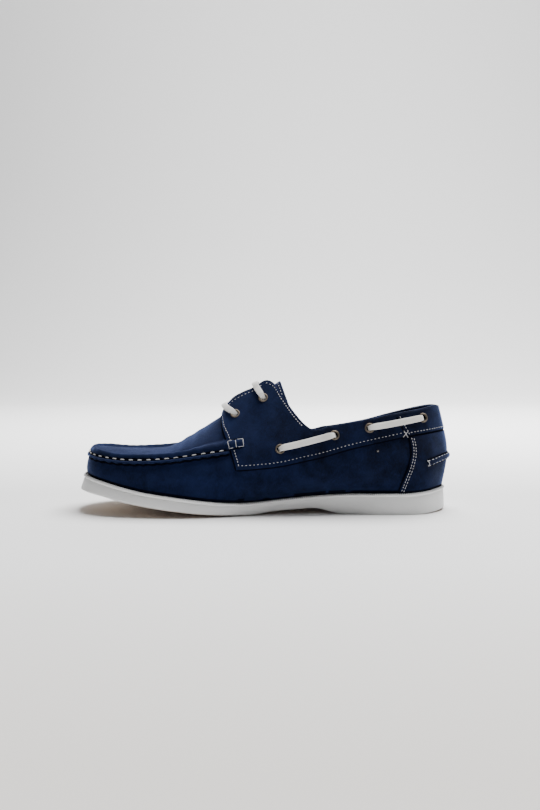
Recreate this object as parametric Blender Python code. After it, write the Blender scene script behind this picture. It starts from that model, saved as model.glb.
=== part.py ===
"""Boat-shoe loafer for the right foot: a moccasin upper on a rubber unit sole.

The frame has its origin on the floor under the middle of the shoe, +Z up, the toe towards -X, the
medial (inner) side towards -Y. All sizes here are millimetres; a mesh is scaled to metres as it is made.
"""

import math
from collections import namedtuple

import bmesh
import bpy
import numpy as np
from mathutils import Matrix, Vector
from mathutils.bvhtree import BVHTree

METRE = 0.001

# ---- Driving dimensions ----
SOLE_LENGTH = 294.5
BALL_WIDTH = 101.0
INSTEP_HEIGHT = 103.5

WALL = 1.8
GAP = 0.35
OVERLAY_INNER = 0.35
OVERLAY_OUTER = 1.45
WELT_MARGIN = 2.7
INSOLE_THICKNESS = 2.5
TONGUE_THICKNESS = 2.4

SOLE_LIP_HEIGHT = 1.8
SOLE_LIP_STEP = 0.6

# The topline runs lower on the lateral side, clear of the ankle; its band, eyelets and lace go down with it.
LATERAL_DROP = 5.1
DROP_START = 0.0
DROP_RISE = 37.0
TOPLINE_DROP_END = 139.5
TOPLINE_DROP_FALL = 60.0
BAND_DROP_END = 116.0
BAND_DROP_FALL = 37.0

RIDGE_BELOW = 3.0
RIDGE_ABOVE = 2.4
RIDGE_CLEAR = 0.45
RIDGE_LIP = 1.6
RIDGE_CREST = 2.6
RIDGE_EDGE = 2.2
RIDGE_LAST_STEP = 0.75

TAB_WIDTH = 5.0
TAB_THICKNESS = 2.1
HEEL_ROLL_WIDTH = 4.6
HEEL_ROLL_THICKNESS = 1.9
SEAT_GAP = 0.5

LACE_WIDTH = 5.2
LACE_THICKNESS = 1.9
LACE_BEVEL = 0.6

EYELET_FLANGE_RADIUS = 3.9
EYELET_BORE_RADIUS = 2.35
EYELET_BARREL_RADIUS = 2.75
EYELET_HOLE_RADIUS = 3.1
EYELET_FLANGE_HEIGHT = 0.9
EYELET_SIDES = 10

# ---- The last on which the tables are drawn; other sizes are graded from it ----
LAST_LENGTH = 294.5
LAST_WIDTH = 101.0
LAST_HEIGHT = 103.5
GRADE = np.array((SOLE_LENGTH / LAST_LENGTH, BALL_WIDTH / LAST_WIDTH, INSTEP_HEIGHT / LAST_HEIGHT))

# A line right round the shoe: its distance along, its medial and lateral reach, and its height.
Row = namedtuple("Row", "along medial lateral height")

SOLE_TOP = (
    Row(-146.1, 0.0, 0.0, 28.6),
    Row(-143.0, 17.0, 13.5, 28.4),
    Row(-137.0, 26.5, 23.5, 27.7),
    Row(-126.0, 35.5, 33.0, 25.5),
    Row(-110.0, 42.5, 41.0, 22.0),
    Row(-90.0, 46.5, 47.0, 18.0),
    Row(-70.0, 48.5, 51.0, 15.2),
    Row(-50.0, 48.0, 53.0, 12.5),
    Row(-30.0, 44.5, 53.0, 10.3),
    Row(-10.0, 38.0, 51.0, 9.7),
    Row(15.0, 32.5, 46.5, 11.7),
    Row(40.0, 30.0, 41.0, 13.8),
    Row(65.0, 30.5, 37.0, 15.3),
    Row(90.0, 33.0, 35.0, 15.7),
    Row(110.0, 33.0, 34.0, 15.8),
    Row(125.0, 29.5, 30.5, 16.7),
    Row(137.6, 19.0, 20.0, 17.9),
    Row(145.3, 0.0, 0.0, 18.2),
)

BELLY = (
    Row(-144.4, 0.0, 0.0, 35.0),
    Row(-141.5, 16.5, 13.5, 34.5),
    Row(-134.5, 27.8, 24.5, 33.5),
    Row(-122.0, 35.5, 33.0, 31.5),
    Row(-106.0, 41.3, 40.0, 29.0),
    Row(-86.0, 44.5, 45.5, 27.0),
    Row(-66.0, 46.0, 49.0, 26.0),
    Row(-46.0, 45.8, 50.5, 26.0),
    Row(-26.0, 44.0, 50.0, 28.0),
    Row(-6.0, 42.0, 48.0, 30.0),
    Row(14.0, 40.5, 44.5, 32.0),
    Row(34.0, 39.5, 41.0, 33.0),
    Row(54.0, 38.0, 38.0, 34.0),
    Row(74.0, 36.5, 36.5, 36.0),
    Row(94.0, 34.3, 35.0, 38.0),
    Row(112.0, 31.5, 32.0, 40.0),
    Row(126.0, 26.5, 27.0, 42.0),
    Row(138.8, 15.5, 16.0, 44.0),
    Row(146.9, 0.0, 0.0, 45.5),
)

# The moccasin seam from the toe to the eyestay, and on from there a line below the collar.
SHOULDER = (
    Row(-141.0, 0.0, 0.0, 47.4),
    Row(-139.3, 10.5, 9.0, 47.1),
    Row(-135.5, 18.5, 15.8, 46.3),
    Row(-128.5, 25.5, 23.0, 45.2),
    Row(-118.0, 31.5, 30.2, 44.1),
    Row(-106.0, 36.0, 36.0, 43.5),
    Row(-90.0, 39.2, 40.7, 43.8),
    Row(-70.0, 40.5, 43.8, 45.4),
    Row(-52.0, 40.0, 44.0, 48.0),
    Row(-35.0, 38.0, 42.5, 50.3),
    Row(-16.0, 36.5, 40.5, 53.5),
    Row(5.0, 36.5, 39.0, 54.5),
    Row(35.0, 36.8, 38.0, 54.0),
    Row(60.0, 35.2, 35.5, 57.0),
    Row(90.0, 31.6, 32.2, 62.0),
    Row(112.0, 26.8, 27.2, 65.0),
    Row(126.0, 20.5, 21.0, 66.5),
    Row(136.8, 12.0, 12.0, 67.3),
    Row(143.6, 0.0, 0.0, 67.5),
)

# The crown of the plug, closed over the foot, up to the throat.
Crown = namedtuple("Crown", "along height")
CROWN = (
    Crown(-141.0, 47.2),
    Crown(-138.0, 49.0),
    Crown(-133.0, 49.7),
    Crown(-124.0, 49.4),
    Crown(-105.0, 48.0),
    Crown(-90.0, 47.7),
    Crown(-79.0, 50.0),
    Crown(-69.0, 54.8),
    Crown(-60.0, 60.2),
    Crown(-50.0, 66.2),
    Crown(-35.0, 75.4),
)

# The free edge behind the throat: the eyestay flap, then the topline round to the heel.
TOP_EDGE = (
    Row(-35.0, 8.0, 8.0, 75.5),
    Row(-31.5, 9.3, 9.3, 81.8),
    Row(-27.0, 9.8, 9.8, 87.6),
    Row(-19.0, 10.0, 10.0, 92.8),
    Row(-8.8, 10.0, 10.0, 97.3),
    Row(1.9, 10.2, 10.2, 103.2),
    Row(6.5, 11.6, 11.6, 101.6),
    Row(14.3, 18.0, 18.5, 91.0),
    Row(23.5, 26.3, 27.0, 78.3),
    Row(29.5, 30.3, 31.3, 71.4),
    Row(35.6, 32.3, 33.5, 66.8),
    Row(50.0, 32.0, 33.3, 68.4),
    Row(73.6, 30.3, 31.5, 72.6),
    Row(102.5, 25.6, 26.2, 78.4),
    Row(117.5, 20.6, 21.0, 80.8),
    Row(128.4, 14.4, 14.6, 82.7),
    Row(135.7, 7.8, 8.0, 83.9),
    Row(139.5, 0.0, 0.0, 83.0),
)

# The sole's underside along its length, how far above it the side ends, how far the foot of that side
# stands out from the top edge, and how far in from that foot the tread begins.
Underside = namedtuple("Underside", "along height edge flare tuck")
UNDERSIDE = (
    Underside(-149.0, 17.6, 1.6, 2.9, 4.0),
    Underside(-138.0, 16.6, 2.4, 2.4, 8.0),
    Underside(-126.0, 14.6, 3.4, 1.6, 11.0),
    Underside(-107.0, 9.9, 4.3, 0.8, 13.0),
    Underside(-87.0, 5.9, 5.0, 0.3, 14.0),
    Underside(-68.0, 3.1, 5.2, 0.0, 14.0),
    Underside(-50.0, 0.9, 5.2, -0.4, 14.0),
    Underside(-36.0, 0.0, 4.5, -1.0, 14.0),
    Underside(-12.0, 0.0, 2.2, -2.2, 8.0),
    Underside(10.5, 3.1, 1.2, -3.2, 4.0),
    Underside(26.0, 4.2, 1.0, -3.4, 2.2),
    Underside(37.5, 4.9, 1.0, -3.3, 2.2),
    Underside(40.5, 4.7, 1.0, -3.2, 2.2),
    Underside(58.5, 0.3, 1.4, -2.0, 2.2),
    Underside(62.0, 0.0, 1.6, -1.6, 2.2),
    Underside(90.0, 0.0, 1.6, -0.4, 2.2),
    Underside(118.0, 0.0, 1.6, 0.0, 2.2),
    Underside(145.3, 2.0, 1.6, 0.2, 2.2),
)

# Outlines of the overlays, seen from the side.
Point = namedtuple("Point", "along height")

EYESTAY_FRONT = (
    Point(-35.6, 84.0),
    Point(-34.8, 75.0),
    Point(-31.6, 63.3),
    Point(-29.4, 58.6),
    Point(-26.4, 51.7),
    Point(-21.6, 36.4),
)
EYESTAY_FOOT = (
    Point(-21.6, 36.4),
    Point(-3.6, 37.6),
    Point(14.0, 39.6),
    Point(27.0, 42.4),
    Point(44.5, 46.2),
    Point(65.3, 51.9),
    Point(87.0, 56.6),
    Point(99.0, 59.0),
    Point(110.8, 61.2),
    Point(130.4, 63.6),
    Point(152.0, 65.4),
)
COLLAR_SEAM = (
    Point(110.8, 61.2),
    Point(101.6, 78.5),
    Point(98.0, 88.0),
)
COUNTER_FRONT = (
    Point(111.7, 61.2),
    Point(113.8, 54.5),
    Point(114.2, 48.2),
    Point(112.0, 38.0),
    Point(108.2, 28.0),
    Point(103.4, 15.0),
)

# Eyelet centres, seen from the side; those of the lateral side lie lower, with its topline.
EYELETS = {
    "throat_low": Point(-23.2, 77.5),
    "throat_high": Point(-1.2, 90.0),
    "side_front": Point(11.8, 51.6),
    "side_middle": Point(53.7, 62.0),
    "side_rear": Point(81.0, 67.4),
    "heel": Point(123.9, 74.5),
}

# Sections of the tongue: where the peak is, and how far its sides lie behind the peak.
TongueSection = namedtuple("TongueSection", "peak lean")
TONGUE_SECTIONS = (
    TongueSection(-46.0, 0.0),
    TongueSection(-40.0, 0.0),
    TongueSection(-35.0, 0.0),
    TongueSection(-28.0, 0.5),
    TongueSection(-20.0, 1.5),
    TongueSection(-11.0, 3.0),
    TongueSection(-2.0, 6.5),
    TongueSection(6.0, 10.5),
    TongueSection(12.0, 15.5),
)
TONGUE_ROWS = 4

# How far the tongue's outside lies below the upper's, and how steeply its peak climbs behind the throat.
TONGUE_CLEAR = 2.4
TONGUE_SLOPE = 0.645

# The end of the seam's roll on each eyestay.
TAB_START = Point(-26.3, 51.9)
TAB_END = Point(-15.6, 54.3)

# The heel roll: the middle it is swept about, half its sweep in degrees, its height at the ends and behind.
HEEL_ROLL_CENTRE = 108.0
HEEL_ROLL_REACH = 55.0
HEEL_ROLL_LOW = 39.5
HEEL_ROLL_HIGH = 43.8

# Where each bar of lace crosses the edges of the flaps.
LACE_CROSSINGS = {
    "low": Point(-31.2, 82.2),
    "high": Point(-8.6, 97.4),
}

SIDES = {"medial": -1.0, "lateral": 1.0}


# ---- Lines ----

def curve(knots, values, places):
    """Smooth line through (knots, values), read at places, with slopes from each knot's two neighbours."""
    knots = np.asarray(knots, float)
    values = np.asarray(values, float)
    step = np.diff(knots)
    rise = np.diff(values) / step
    slope = np.empty_like(values)
    slope[1:-1] = (rise[:-1] * step[1:] + rise[1:] * step[:-1]) / (step[1:] + step[:-1])
    slope[0] = 2 * rise[0] - slope[1]
    slope[-1] = 2 * rise[-1] - slope[-2]
    cell = np.clip(np.searchsorted(knots, places, side="right") - 1, 0, len(step) - 1)
    width = step[cell]
    t = np.clip((places - knots[cell]) / width, 0.0, 1.0)
    keep = 1 - 3 * t**2 + 2 * t**3
    take = 1 - keep
    leave = t * (1 - t) ** 2
    arrive = -(t**2) * (1 - t)
    return (
        keep * values[cell]
        + take * values[cell + 1]
        + width * (leave * slope[cell] + arrive * slope[cell + 1])
    )


def turn_of(table, along):
    """Angle of a distance along a line round the shoe: 0 at its toe end, pi at its heel end."""
    toe = table[0].along
    heel = table[-1].along
    return np.arccos(np.clip(1 - 2 * (np.asarray(along) - toe) / (heel - toe), -1.0, 1.0))


def column(table, name):
    return np.array([getattr(row, name) for row in table])


def line_round(table, turns, side):
    """One side of a line round the shoe, from toe to heel, at the given angles."""
    knots = turn_of(table, column(table, "along"))
    toe = table[0].along
    heel = table[-1].along
    along = toe + (heel - toe) * (1 - np.cos(turns)) / 2
    reach = curve(knots, column(table, side), turns) * SIDES[side]
    height = curve(knots, column(table, "height"), turns)
    return np.stack((along, reach, height), axis=1) * GRADE


def ring(medial, lateral):
    """Closed ring of points: down the medial side from toe to heel, and back up the lateral side."""
    return np.concatenate((medial, lateral[-2:0:-1]))


def push_out(points, distance):
    """A closed ring moved outwards in plan by a distance, one for all or one for each point."""
    tangent = np.roll(points, -1, axis=0) - np.roll(points, 1, axis=0)
    normal = np.stack((tangent[:, 1], -tangent[:, 0]), axis=1)
    normal /= np.linalg.norm(normal, axis=1)[:, None]
    centre = points[:, :2].mean(axis=0)
    if np.sum((points[:, :2] - centre) * normal) < 0:
        normal = -normal
    moved = points.copy()
    moved[:, :2] += normal * np.reshape(distance, (-1, 1))
    return moved


def sole_top_height(along):
    knots = turn_of(SOLE_TOP, column(SOLE_TOP, "along"))
    return curve(knots, column(SOLE_TOP, "height"), turn_of(SOLE_TOP, along / GRADE[0])) * GRADE[2]


def underside_height(along):
    """Height of the tread; between the table's rows of no height it is dead flat on the floor."""
    place = along / GRADE[0]
    height = curve(column(UNDERSIDE, "along"), column(UNDERSIDE, "height"), place)
    on_floor = np.zeros_like(place, bool)
    for near, far in zip(UNDERSIDE, UNDERSIDE[1:]):
        if near.height == 0.0 and far.height == 0.0:
            on_floor |= (place >= near.along) & (place <= far.along)
    return np.where(on_floor, 0.0, np.maximum(height, 0.0)) * GRADE[2]


def drop(along, side, end, length):
    """How much lower a line of one side runs than its table; the drop fades out over a length before its end."""
    if side == "medial":
        return 0.0 * along
    rise = np.clip((along - DROP_START) / DROP_RISE, 0.0, 1.0)
    fall = np.clip((end - along) / length, 0.0, 1.0)
    return LATERAL_DROP * rise**2 * (3 - 2 * rise) * fall**2 * (3 - 2 * fall)


def lowered(points, side):
    """Side-view points at the heights they have on one side of the shoe."""
    return [Point(p.along, p.height - drop(p.along, side, BAND_DROP_END, BAND_DROP_FALL)) for p in points]


def unit(vector):
    return vector / np.linalg.norm(vector)


def square_to(vector, axis):
    """The part of a vector that is square to a unit axis."""
    return vector - axis * vector.dot(axis)


def hermite(start, leave, end, arrive, t):
    """Point at t on the curve that leaves start along one vector and arrives at end along another."""
    keep = 1 - 3 * t**2 + 2 * t**3
    return (
        keep * start
        + (1 - keep) * end
        + t * (1 - t) ** 2 * leave
        - t**2 * (1 - t) * arrive
    )


# ---- Solids ----

def material(name, colour, roughness, metallic=0.0):
    made = bpy.data.materials.new(name)
    made.use_nodes = True
    shader = made.node_tree.nodes["Principled BSDF"]
    shader.inputs["Base Color"].default_value = (*colour, 1.0)
    shader.inputs["Roughness"].default_value = roughness
    shader.inputs["Metallic"].default_value = metallic
    return made


def solid(name, points, faces, finish):
    """An object from points in millimetres and faces; the faces are split into triangles and turned outwards."""
    mesh = bpy.data.meshes.new(name)
    mesh.from_pydata([tuple(p * METRE) for p in points], [], [tuple(f) for f in faces])
    shape = bmesh.new()
    shape.from_mesh(mesh)
    bmesh.ops.triangulate(shape, faces=shape.faces[:])
    bmesh.ops.recalc_face_normals(shape, faces=shape.faces[:])
    shape.to_mesh(mesh)
    shape.free()
    mesh.materials.append(finish)
    mesh.polygons.foreach_set("use_smooth", [True] * len(mesh.polygons))
    made = bpy.data.objects.new(name, mesh)
    bpy.context.scene.collection.objects.link(made)
    return made


class Surface:
    """An open surface of joined points, with a normal at each, from which walls and overlays are offset."""

    def __init__(self, points, faces):
        self.points = np.asarray(points, float)
        self.faces = [tuple(f) for f in faces]
        self.normals = self._point_normals()
        self.tree = BVHTree.FromPolygons([Vector(p) for p in self.points], self.faces)

    def _point_normals(self):
        total = np.zeros_like(self.points)
        for face in self.faces:
            corners = self.points[list(face)]
            for i in range(1, len(face) - 1):
                area = np.cross(corners[i] - corners[0], corners[i + 1] - corners[0])
                for index in (face[0], face[i], face[i + 1]):
                    total[index] += area
        return total / np.linalg.norm(total, axis=1)[:, None]

    def rim(self):
        """Edges that only one face uses, each in that face's order."""
        edges = {}
        for face in self.faces:
            for a, b in zip(face, face[1:] + face[:1]):
                edges[(a, b)] = True
        return [edge for edge in edges if (edge[1], edge[0]) not in edges]

    def shell(self, name, inner, outer, finish):
        """Closed solid between two offsets of the surface."""
        count = len(self.points)
        points = np.concatenate((self.points + self.normals * outer, self.points + self.normals * inner))
        faces = list(self.faces)
        faces += [tuple(i + count for i in reversed(face)) for face in self.faces]
        faces += [(b, a, a + count, b + count) for a, b in self.rim()]
        return solid(name, points, faces, finish)

    def seat(self, along, height, side, lift):
        """Place on the surface seen from one side, lifted along its normal, and that normal."""
        start = Vector((along * GRADE[0], SIDES[side] * BALL_WIDTH, height * GRADE[2]))
        hit, normal, _, _ = self.tree.ray_cast(start, Vector((0.0, -SIDES[side], 0.0)))
        normal = np.array(normal) * (1.0 if normal.y * SIDES[side] > 0 else -1.0)
        return np.array(hit) + normal * lift, normal

    def seat_from(self, axis, direction, lift):
        """Place where a ray from outside towards a point of the axis meets the surface, lifted."""
        start = Vector(axis) + Vector(direction) * BALL_WIDTH
        hit, normal, _, _ = self.tree.ray_cast(start, -Vector(direction))
        normal = np.array(normal) * (1.0 if Vector(normal).dot(Vector(direction)) > 0 else -1.0)
        return np.array(hit) + normal * lift, normal


def tube_of(name, sections, finish):
    """Closed solid through a row of equal closed sections, with flat ends."""
    count = len(sections[0])
    faces = []
    for i in range(len(sections) - 1):
        for j in range(count):
            k = (j + 1) % count
            faces.append((i * count + j, i * count + k, (i + 1) * count + k, (i + 1) * count + j))
    last = (len(sections) - 1) * count
    faces.append(tuple(range(count - 1, -1, -1)))
    faces.append(tuple(range(last, last + count)))
    return solid(name, np.concatenate(sections), faces, finish)


def cutter(name, outline, near, far):
    """Prism of a side-view outline between two distances across, used only to cut."""
    count = len(outline)
    points = [np.array((p[0] * GRADE[0], y, p[1] * GRADE[2])) for y in (near, far) for p in outline]
    faces = [tuple(range(count)), tuple(range(2 * count - 1, count - 1, -1))]
    faces += [(i, (i + 1) % count, count + (i + 1) % count, count + i) for i in range(count)]
    made = solid(name, points, faces, material(name, (0.5, 0.5, 0.5), 0.5))
    made.hide_render = True
    made.display_type = "WIRE"
    return made


def cut(target, tool, operation):
    step = target.modifiers.new(tool.name, "BOOLEAN")
    step.operation = operation
    step.solver = "EXACT"
    step.object = tool


# ---- The upper's surface ----

WALL_ROWS = 6
CAP_ROWS = 5
THROAT = -35.0
FLAP_PEAK = 2.5
FLAP_FOOT = 35.6
STATIONS = ((THROAT, 16), (FLAP_PEAK, 5), (FLAP_FOOT, 4), (TOP_EDGE[-1].along, 11))


def station_turns(table, stops):
    """Angles of the stations round a line, in even steps up to each stop in turn."""
    turns = [0.0]
    for stop, steps in stops:
        end = float(turn_of(table, stop))
        turns += list(np.linspace(turns[-1], end, steps + 1)[1:])
    return np.array(turns)


CROWN_TO_HEEL = (Row(SHOULDER[0].along, 0, 0, 0), Row(TOP_EDGE[-1].along, 0, 0, 0))
TURNS = station_turns(CROWN_TO_HEEL, STATIONS)
THROAT_STATION = STATIONS[0][1]
STATION_COUNT = len(TURNS) - 1


def top_points(side):
    """The crown line up to the throat, then the free edge of one side."""
    toe = CROWN_TO_HEEL[0].along
    heel = CROWN_TO_HEEL[1].along
    along = toe + (heel - toe) * (1 - np.cos(TURNS)) / 2
    crown_turns = turn_of(CROWN_TO_HEEL, column(CROWN, "along"))
    crown = curve(crown_turns, column(CROWN, "height"), TURNS)
    edge_turns = turn_of(CROWN_TO_HEEL, column(TOP_EDGE, "along"))
    edge = curve(edge_turns, column(TOP_EDGE, "height"), TURNS)
    edge -= drop(along, side, TOPLINE_DROP_END, TOPLINE_DROP_FALL)
    reach = curve(edge_turns, column(TOP_EDGE, side), TURNS) * SIDES[side]
    open_part = np.arange(len(TURNS)) > THROAT_STATION
    return np.stack((along, np.where(open_part, reach, 0.0), np.where(open_part, edge, crown)), axis=1) * GRADE


def feather_ring():
    """Where the upper meets the sole: the sole's top edge brought in by the welt's margin."""
    top = ring(line_round(SOLE_TOP, TURNS, "medial"), line_round(SOLE_TOP, TURNS, "lateral"))
    feather = push_out(top, -WELT_MARGIN)
    feather[:, 2] = sole_top_height(feather[:, 0]) + GAP
    return feather


def section_rows(side, feather):
    """Rows of points up one side, from the feather line over the shoulder to the crown or the free edge."""
    belly = line_round(BELLY, TURNS, side)
    shoulder = line_round(SHOULDER, TURNS, side)
    top = top_points(side)
    crease = np.interp(shoulder[:, 0], (-46.0 * GRADE[0], -12.0 * GRADE[0]), (1.0, 0.0))[:, None]
    through = (top - belly) * 0.5
    rows = []
    for j in range(WALL_ROWS + 1):
        t = j / WALL_ROWS * 2
        if t <= 1:
            leave = (belly - feather) * np.array((1.5, 1.5, 1.0))
            arrive = (shoulder - feather) * np.array((0.0, 0.0, 0.5)) + (shoulder - belly) * 0.1
            rows.append(hermite(feather, leave, belly, arrive, t))
        else:
            leave = (shoulder - feather) * np.array((0.0, 0.0, 0.5)) + (shoulder - belly) * 0.1
            sharp = (shoulder - belly) * np.array((1.7, 1.7, 0.8))
            arrive = sharp * crease + through * (1 - crease)
            rows.append(hermite(belly, leave, shoulder, arrive, t - 1))
    span = top - shoulder
    lift = np.maximum(span[:, 2], 5.0)[:, None] * np.array((0.0, 0.0, 1.25))
    closed_leave = span * np.array((0.3, 0.3, 0.0)) + lift
    closed_arrive = span * np.array((1.3, 1.3, 0.0))
    open_arrive = span * np.array((1.0, 1.0, 0.85))
    is_open = (np.arange(len(TURNS)) > THROAT_STATION)[:, None]
    leave = closed_leave * crease + through * (1 - crease)
    arrive = np.where(is_open, open_arrive, closed_arrive)
    for j in range(1, CAP_ROWS + 1):
        rows.append(hermite(shoulder, leave, top, arrive, j / CAP_ROWS))
    return rows


def station_point(row, along):
    """Point of a row of the upper at a distance along the shoe."""
    return np.array([np.interp(along, row[:, 0], row[:, axis]) for axis in range(3)])


def upper_surface():
    feather = feather_ring()
    lateral_feather = np.concatenate((feather[:1], feather[:STATION_COUNT - 1:-1]))
    medial = section_rows("medial", feather[:STATION_COUNT + 1])
    lateral = section_rows("lateral", lateral_feather)
    around = 2 * STATION_COUNT
    points = np.concatenate([ring(m, l) for m, l in zip(medial, lateral)])
    joined = {}
    top_row = WALL_ROWS + CAP_ROWS
    for row in range(WALL_ROWS + 1, top_row + 1):
        joined[row * around] = WALL_ROWS * around
    for station in range(1, THROAT_STATION + 1):
        joined[top_row * around + around - station] = top_row * around + station
    used = [i for i in range(len(points)) if i not in joined]
    place = {old: new for new, old in enumerate(used)}
    for old, kept in joined.items():
        place[old] = place[kept]
    faces = []
    for row in range(top_row):
        for i in range(around):
            k = (i + 1) % around
            corners = (row * around + i, row * around + k, (row + 1) * around + k, (row + 1) * around + i)
            face = []
            for corner in (place[c] for c in corners):
                if corner not in face:
                    face.append(corner)
            if len(face) > 2:
                faces.append(face)
    surface = Surface(points[used], faces)
    for i in range(around):
        surface.normals[place[i]] *= (1.0, 1.0, 0.0)
        surface.normals[place[i]] /= np.linalg.norm(surface.normals[place[i]])
    return surface, medial, lateral


# ---- The pieces ----

def make_outsole(finish):
    stops = ((-38.0, 15), (-12.0, 3), (40.5, 6), (60.0, 2), (118.0, 5), (SOLE_TOP[-1].along, 8))
    turns = station_turns(SOLE_TOP, stops)
    stations = len(turns) - 1
    around = 2 * stations
    top = ring(line_round(SOLE_TOP, turns, "medial"), line_round(SOLE_TOP, turns, "lateral"))
    top[:, 2] = sole_top_height(top[:, 0])
    flare = curve(column(UNDERSIDE, "along"), column(UNDERSIDE, "flare"), top[:, 0] / GRADE[0])
    tuck = curve(column(UNDERSIDE, "along"), column(UNDERSIDE, "tuck"), top[:, 0] / GRADE[0])
    edge = curve(column(UNDERSIDE, "along"), column(UNDERSIDE, "edge"), top[:, 0] / GRADE[0])
    lip = top - (0.0, 0.0, SOLE_LIP_HEIGHT)
    under_lip = push_out(lip, -SOLE_LIP_STEP) - (0.0, 0.0, SOLE_LIP_STEP)
    foot = push_out(top, flare)
    tread = push_out(top, flare - tuck)
    tread[:, 2] = underside_height(tread[:, 0])
    foot[:, 2] = underside_height(top[:, 0]) + edge
    rows = (top, lip, under_lip, foot, tread)
    faces = []
    for row in range(len(rows) - 1):
        for i in range(around):
            k = (i + 1) % around
            faces.append((row * around + i, row * around + k, (row + 1) * around + k, (row + 1) * around + i))
    for base in (0, (len(rows) - 1) * around):
        faces.append((base, base + 1, base + around - 1))
        for i in range(1, stations - 1):
            faces.append((base + i, base + i + 1, base + around - i - 1, base + around - i))
        faces.append((base + stations - 1, base + stations, base + stations + 1))
    return solid("outsole", np.concatenate(rows), faces, finish)


def make_insole(finish):
    feather = push_out(feather_ring(), -(WALL + GAP + 0.25))
    around = len(feather)
    stations = around // 2
    bottom = feather.copy()
    bottom[:, 2] = sole_top_height(bottom[:, 0]) + GAP
    top = bottom + (0.0, 0.0, INSOLE_THICKNESS)
    faces = [(i, (i + 1) % around, around + (i + 1) % around, around + i) for i in range(around)]
    for base in (0, around):
        faces.append((base, base + 1, base + around - 1))
        for i in range(1, stations - 1):
            faces.append((base + i, base + i + 1, base + around - i - 1, base + around - i))
        faces.append((base + stations - 1, base + stations, base + stations + 1))
    return solid("insole", np.concatenate((bottom, top)), faces, finish)


def make_tongue(medial, lateral, finish):
    """From under the plug's rear edge up between the flaps, arched over the instep."""
    sections = []
    for section in TONGUE_SECTIONS:
        peak_along = section.peak
        halves = []
        for rows in (medial, lateral):
            cap = [station_point(row, (peak_along + section.lean) * GRADE[0]) for row in rows[WALL_ROWS:]]
            over = [station_point(row, peak_along * GRADE[0]) for row in rows[WALL_ROWS:]]
            inwards = np.array((0.0, -np.sign(cap[0][1]), -0.45)) * TONGUE_CLEAR
            low = cap[1] * 0.3 + cap[2] * 0.7 + inwards * 1.15
            if peak_along <= THROAT:
                peak = over[-1] - (0.0, 0.0, TONGUE_CLEAR + 0.4)
                leave = (cap[2] - cap[1]) * 2.2
            else:
                rise = (peak_along - THROAT) * TONGUE_SLOPE - TONGUE_CLEAR + 0.4
                peak = np.array((peak_along, 0.0, CROWN[-1].height + rise)) * GRADE
                leave = (cap[3] - cap[1]) * 1.1
            arrive = (peak - low) * np.array((0.0, 1.05, 0.0))
            halves.append([hermite(low, leave, peak, arrive, t) for t in np.linspace(0, 1, TONGUE_ROWS + 1)])
        sections.append(halves[0] + halves[1][-2::-1])
    count = 2 * TONGUE_ROWS + 1
    faces = []
    for i in range(len(sections) - 1):
        for j in range(count - 1):
            faces.append((i * count + j, (i + 1) * count + j, (i + 1) * count + j + 1, i * count + j + 1))
    surface = Surface(np.concatenate([np.array(s) for s in sections]), faces)
    if surface.normals[:, 2].mean() < 0:
        surface.normals = -surface.normals
    return surface.shell("tongue", -TONGUE_THICKNESS, 0.0, finish)


def make_overlays(surface, finish):
    """Eyestays, back collar and counter, cut from one offset of the upper's surface."""
    high = 130.0
    low = -10.0
    far = 90.0
    seam_gap = 0.18
    foot = [p for p in EYESTAY_FOOT if p.along < COLLAR_SEAM[0].along]
    seam_front = [(p.along - seam_gap, p.height) for p in COLLAR_SEAM]
    eyestay = {}
    for side in SIDES:
        lines = [*EYESTAY_FRONT, *lowered(foot[1:], side), *seam_front]
        eyestay[side] = [(EYESTAY_FRONT[0].along, high), *lines, (seam_front[-1][0], high)]
    seam_rear = [(p.along + seam_gap, p.height) for p in COLLAR_SEAM[::-1]]
    back_foot = [p for p in EYESTAY_FOOT if p.along > COLLAR_SEAM[0].along]
    collar = [(seam_rear[0][0], high), *seam_rear, *back_foot, (back_foot[-1].along, high)]
    counter_top = [(p.along, p.height - 2 * seam_gap) for p in back_foot[::-1]]
    counter = [
        *counter_top,
        (COUNTER_FRONT[0].along + seam_gap, COUNTER_FRONT[0].height - 2 * seam_gap),
        *COUNTER_FRONT[1:],
        (COUNTER_FRONT[-1].along, low),
        (back_foot[-1].along, low),
    ]
    pieces = {
        "eyestay_medial": (eyestay["medial"], -far, -0.5),
        "eyestay_lateral": (eyestay["lateral"], 0.5, far),
        "collar_back": (collar, -far, far),
        "counter": (counter, -far, far),
    }
    made = {}
    for name, (outline, near, side_far) in pieces.items():
        made[name] = surface.shell(name, OVERLAY_INNER, OVERLAY_OUTER, finish)
        cut(made[name], cutter(name + "_outline", outline, near, side_far), "INTERSECT")
    return made


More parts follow.
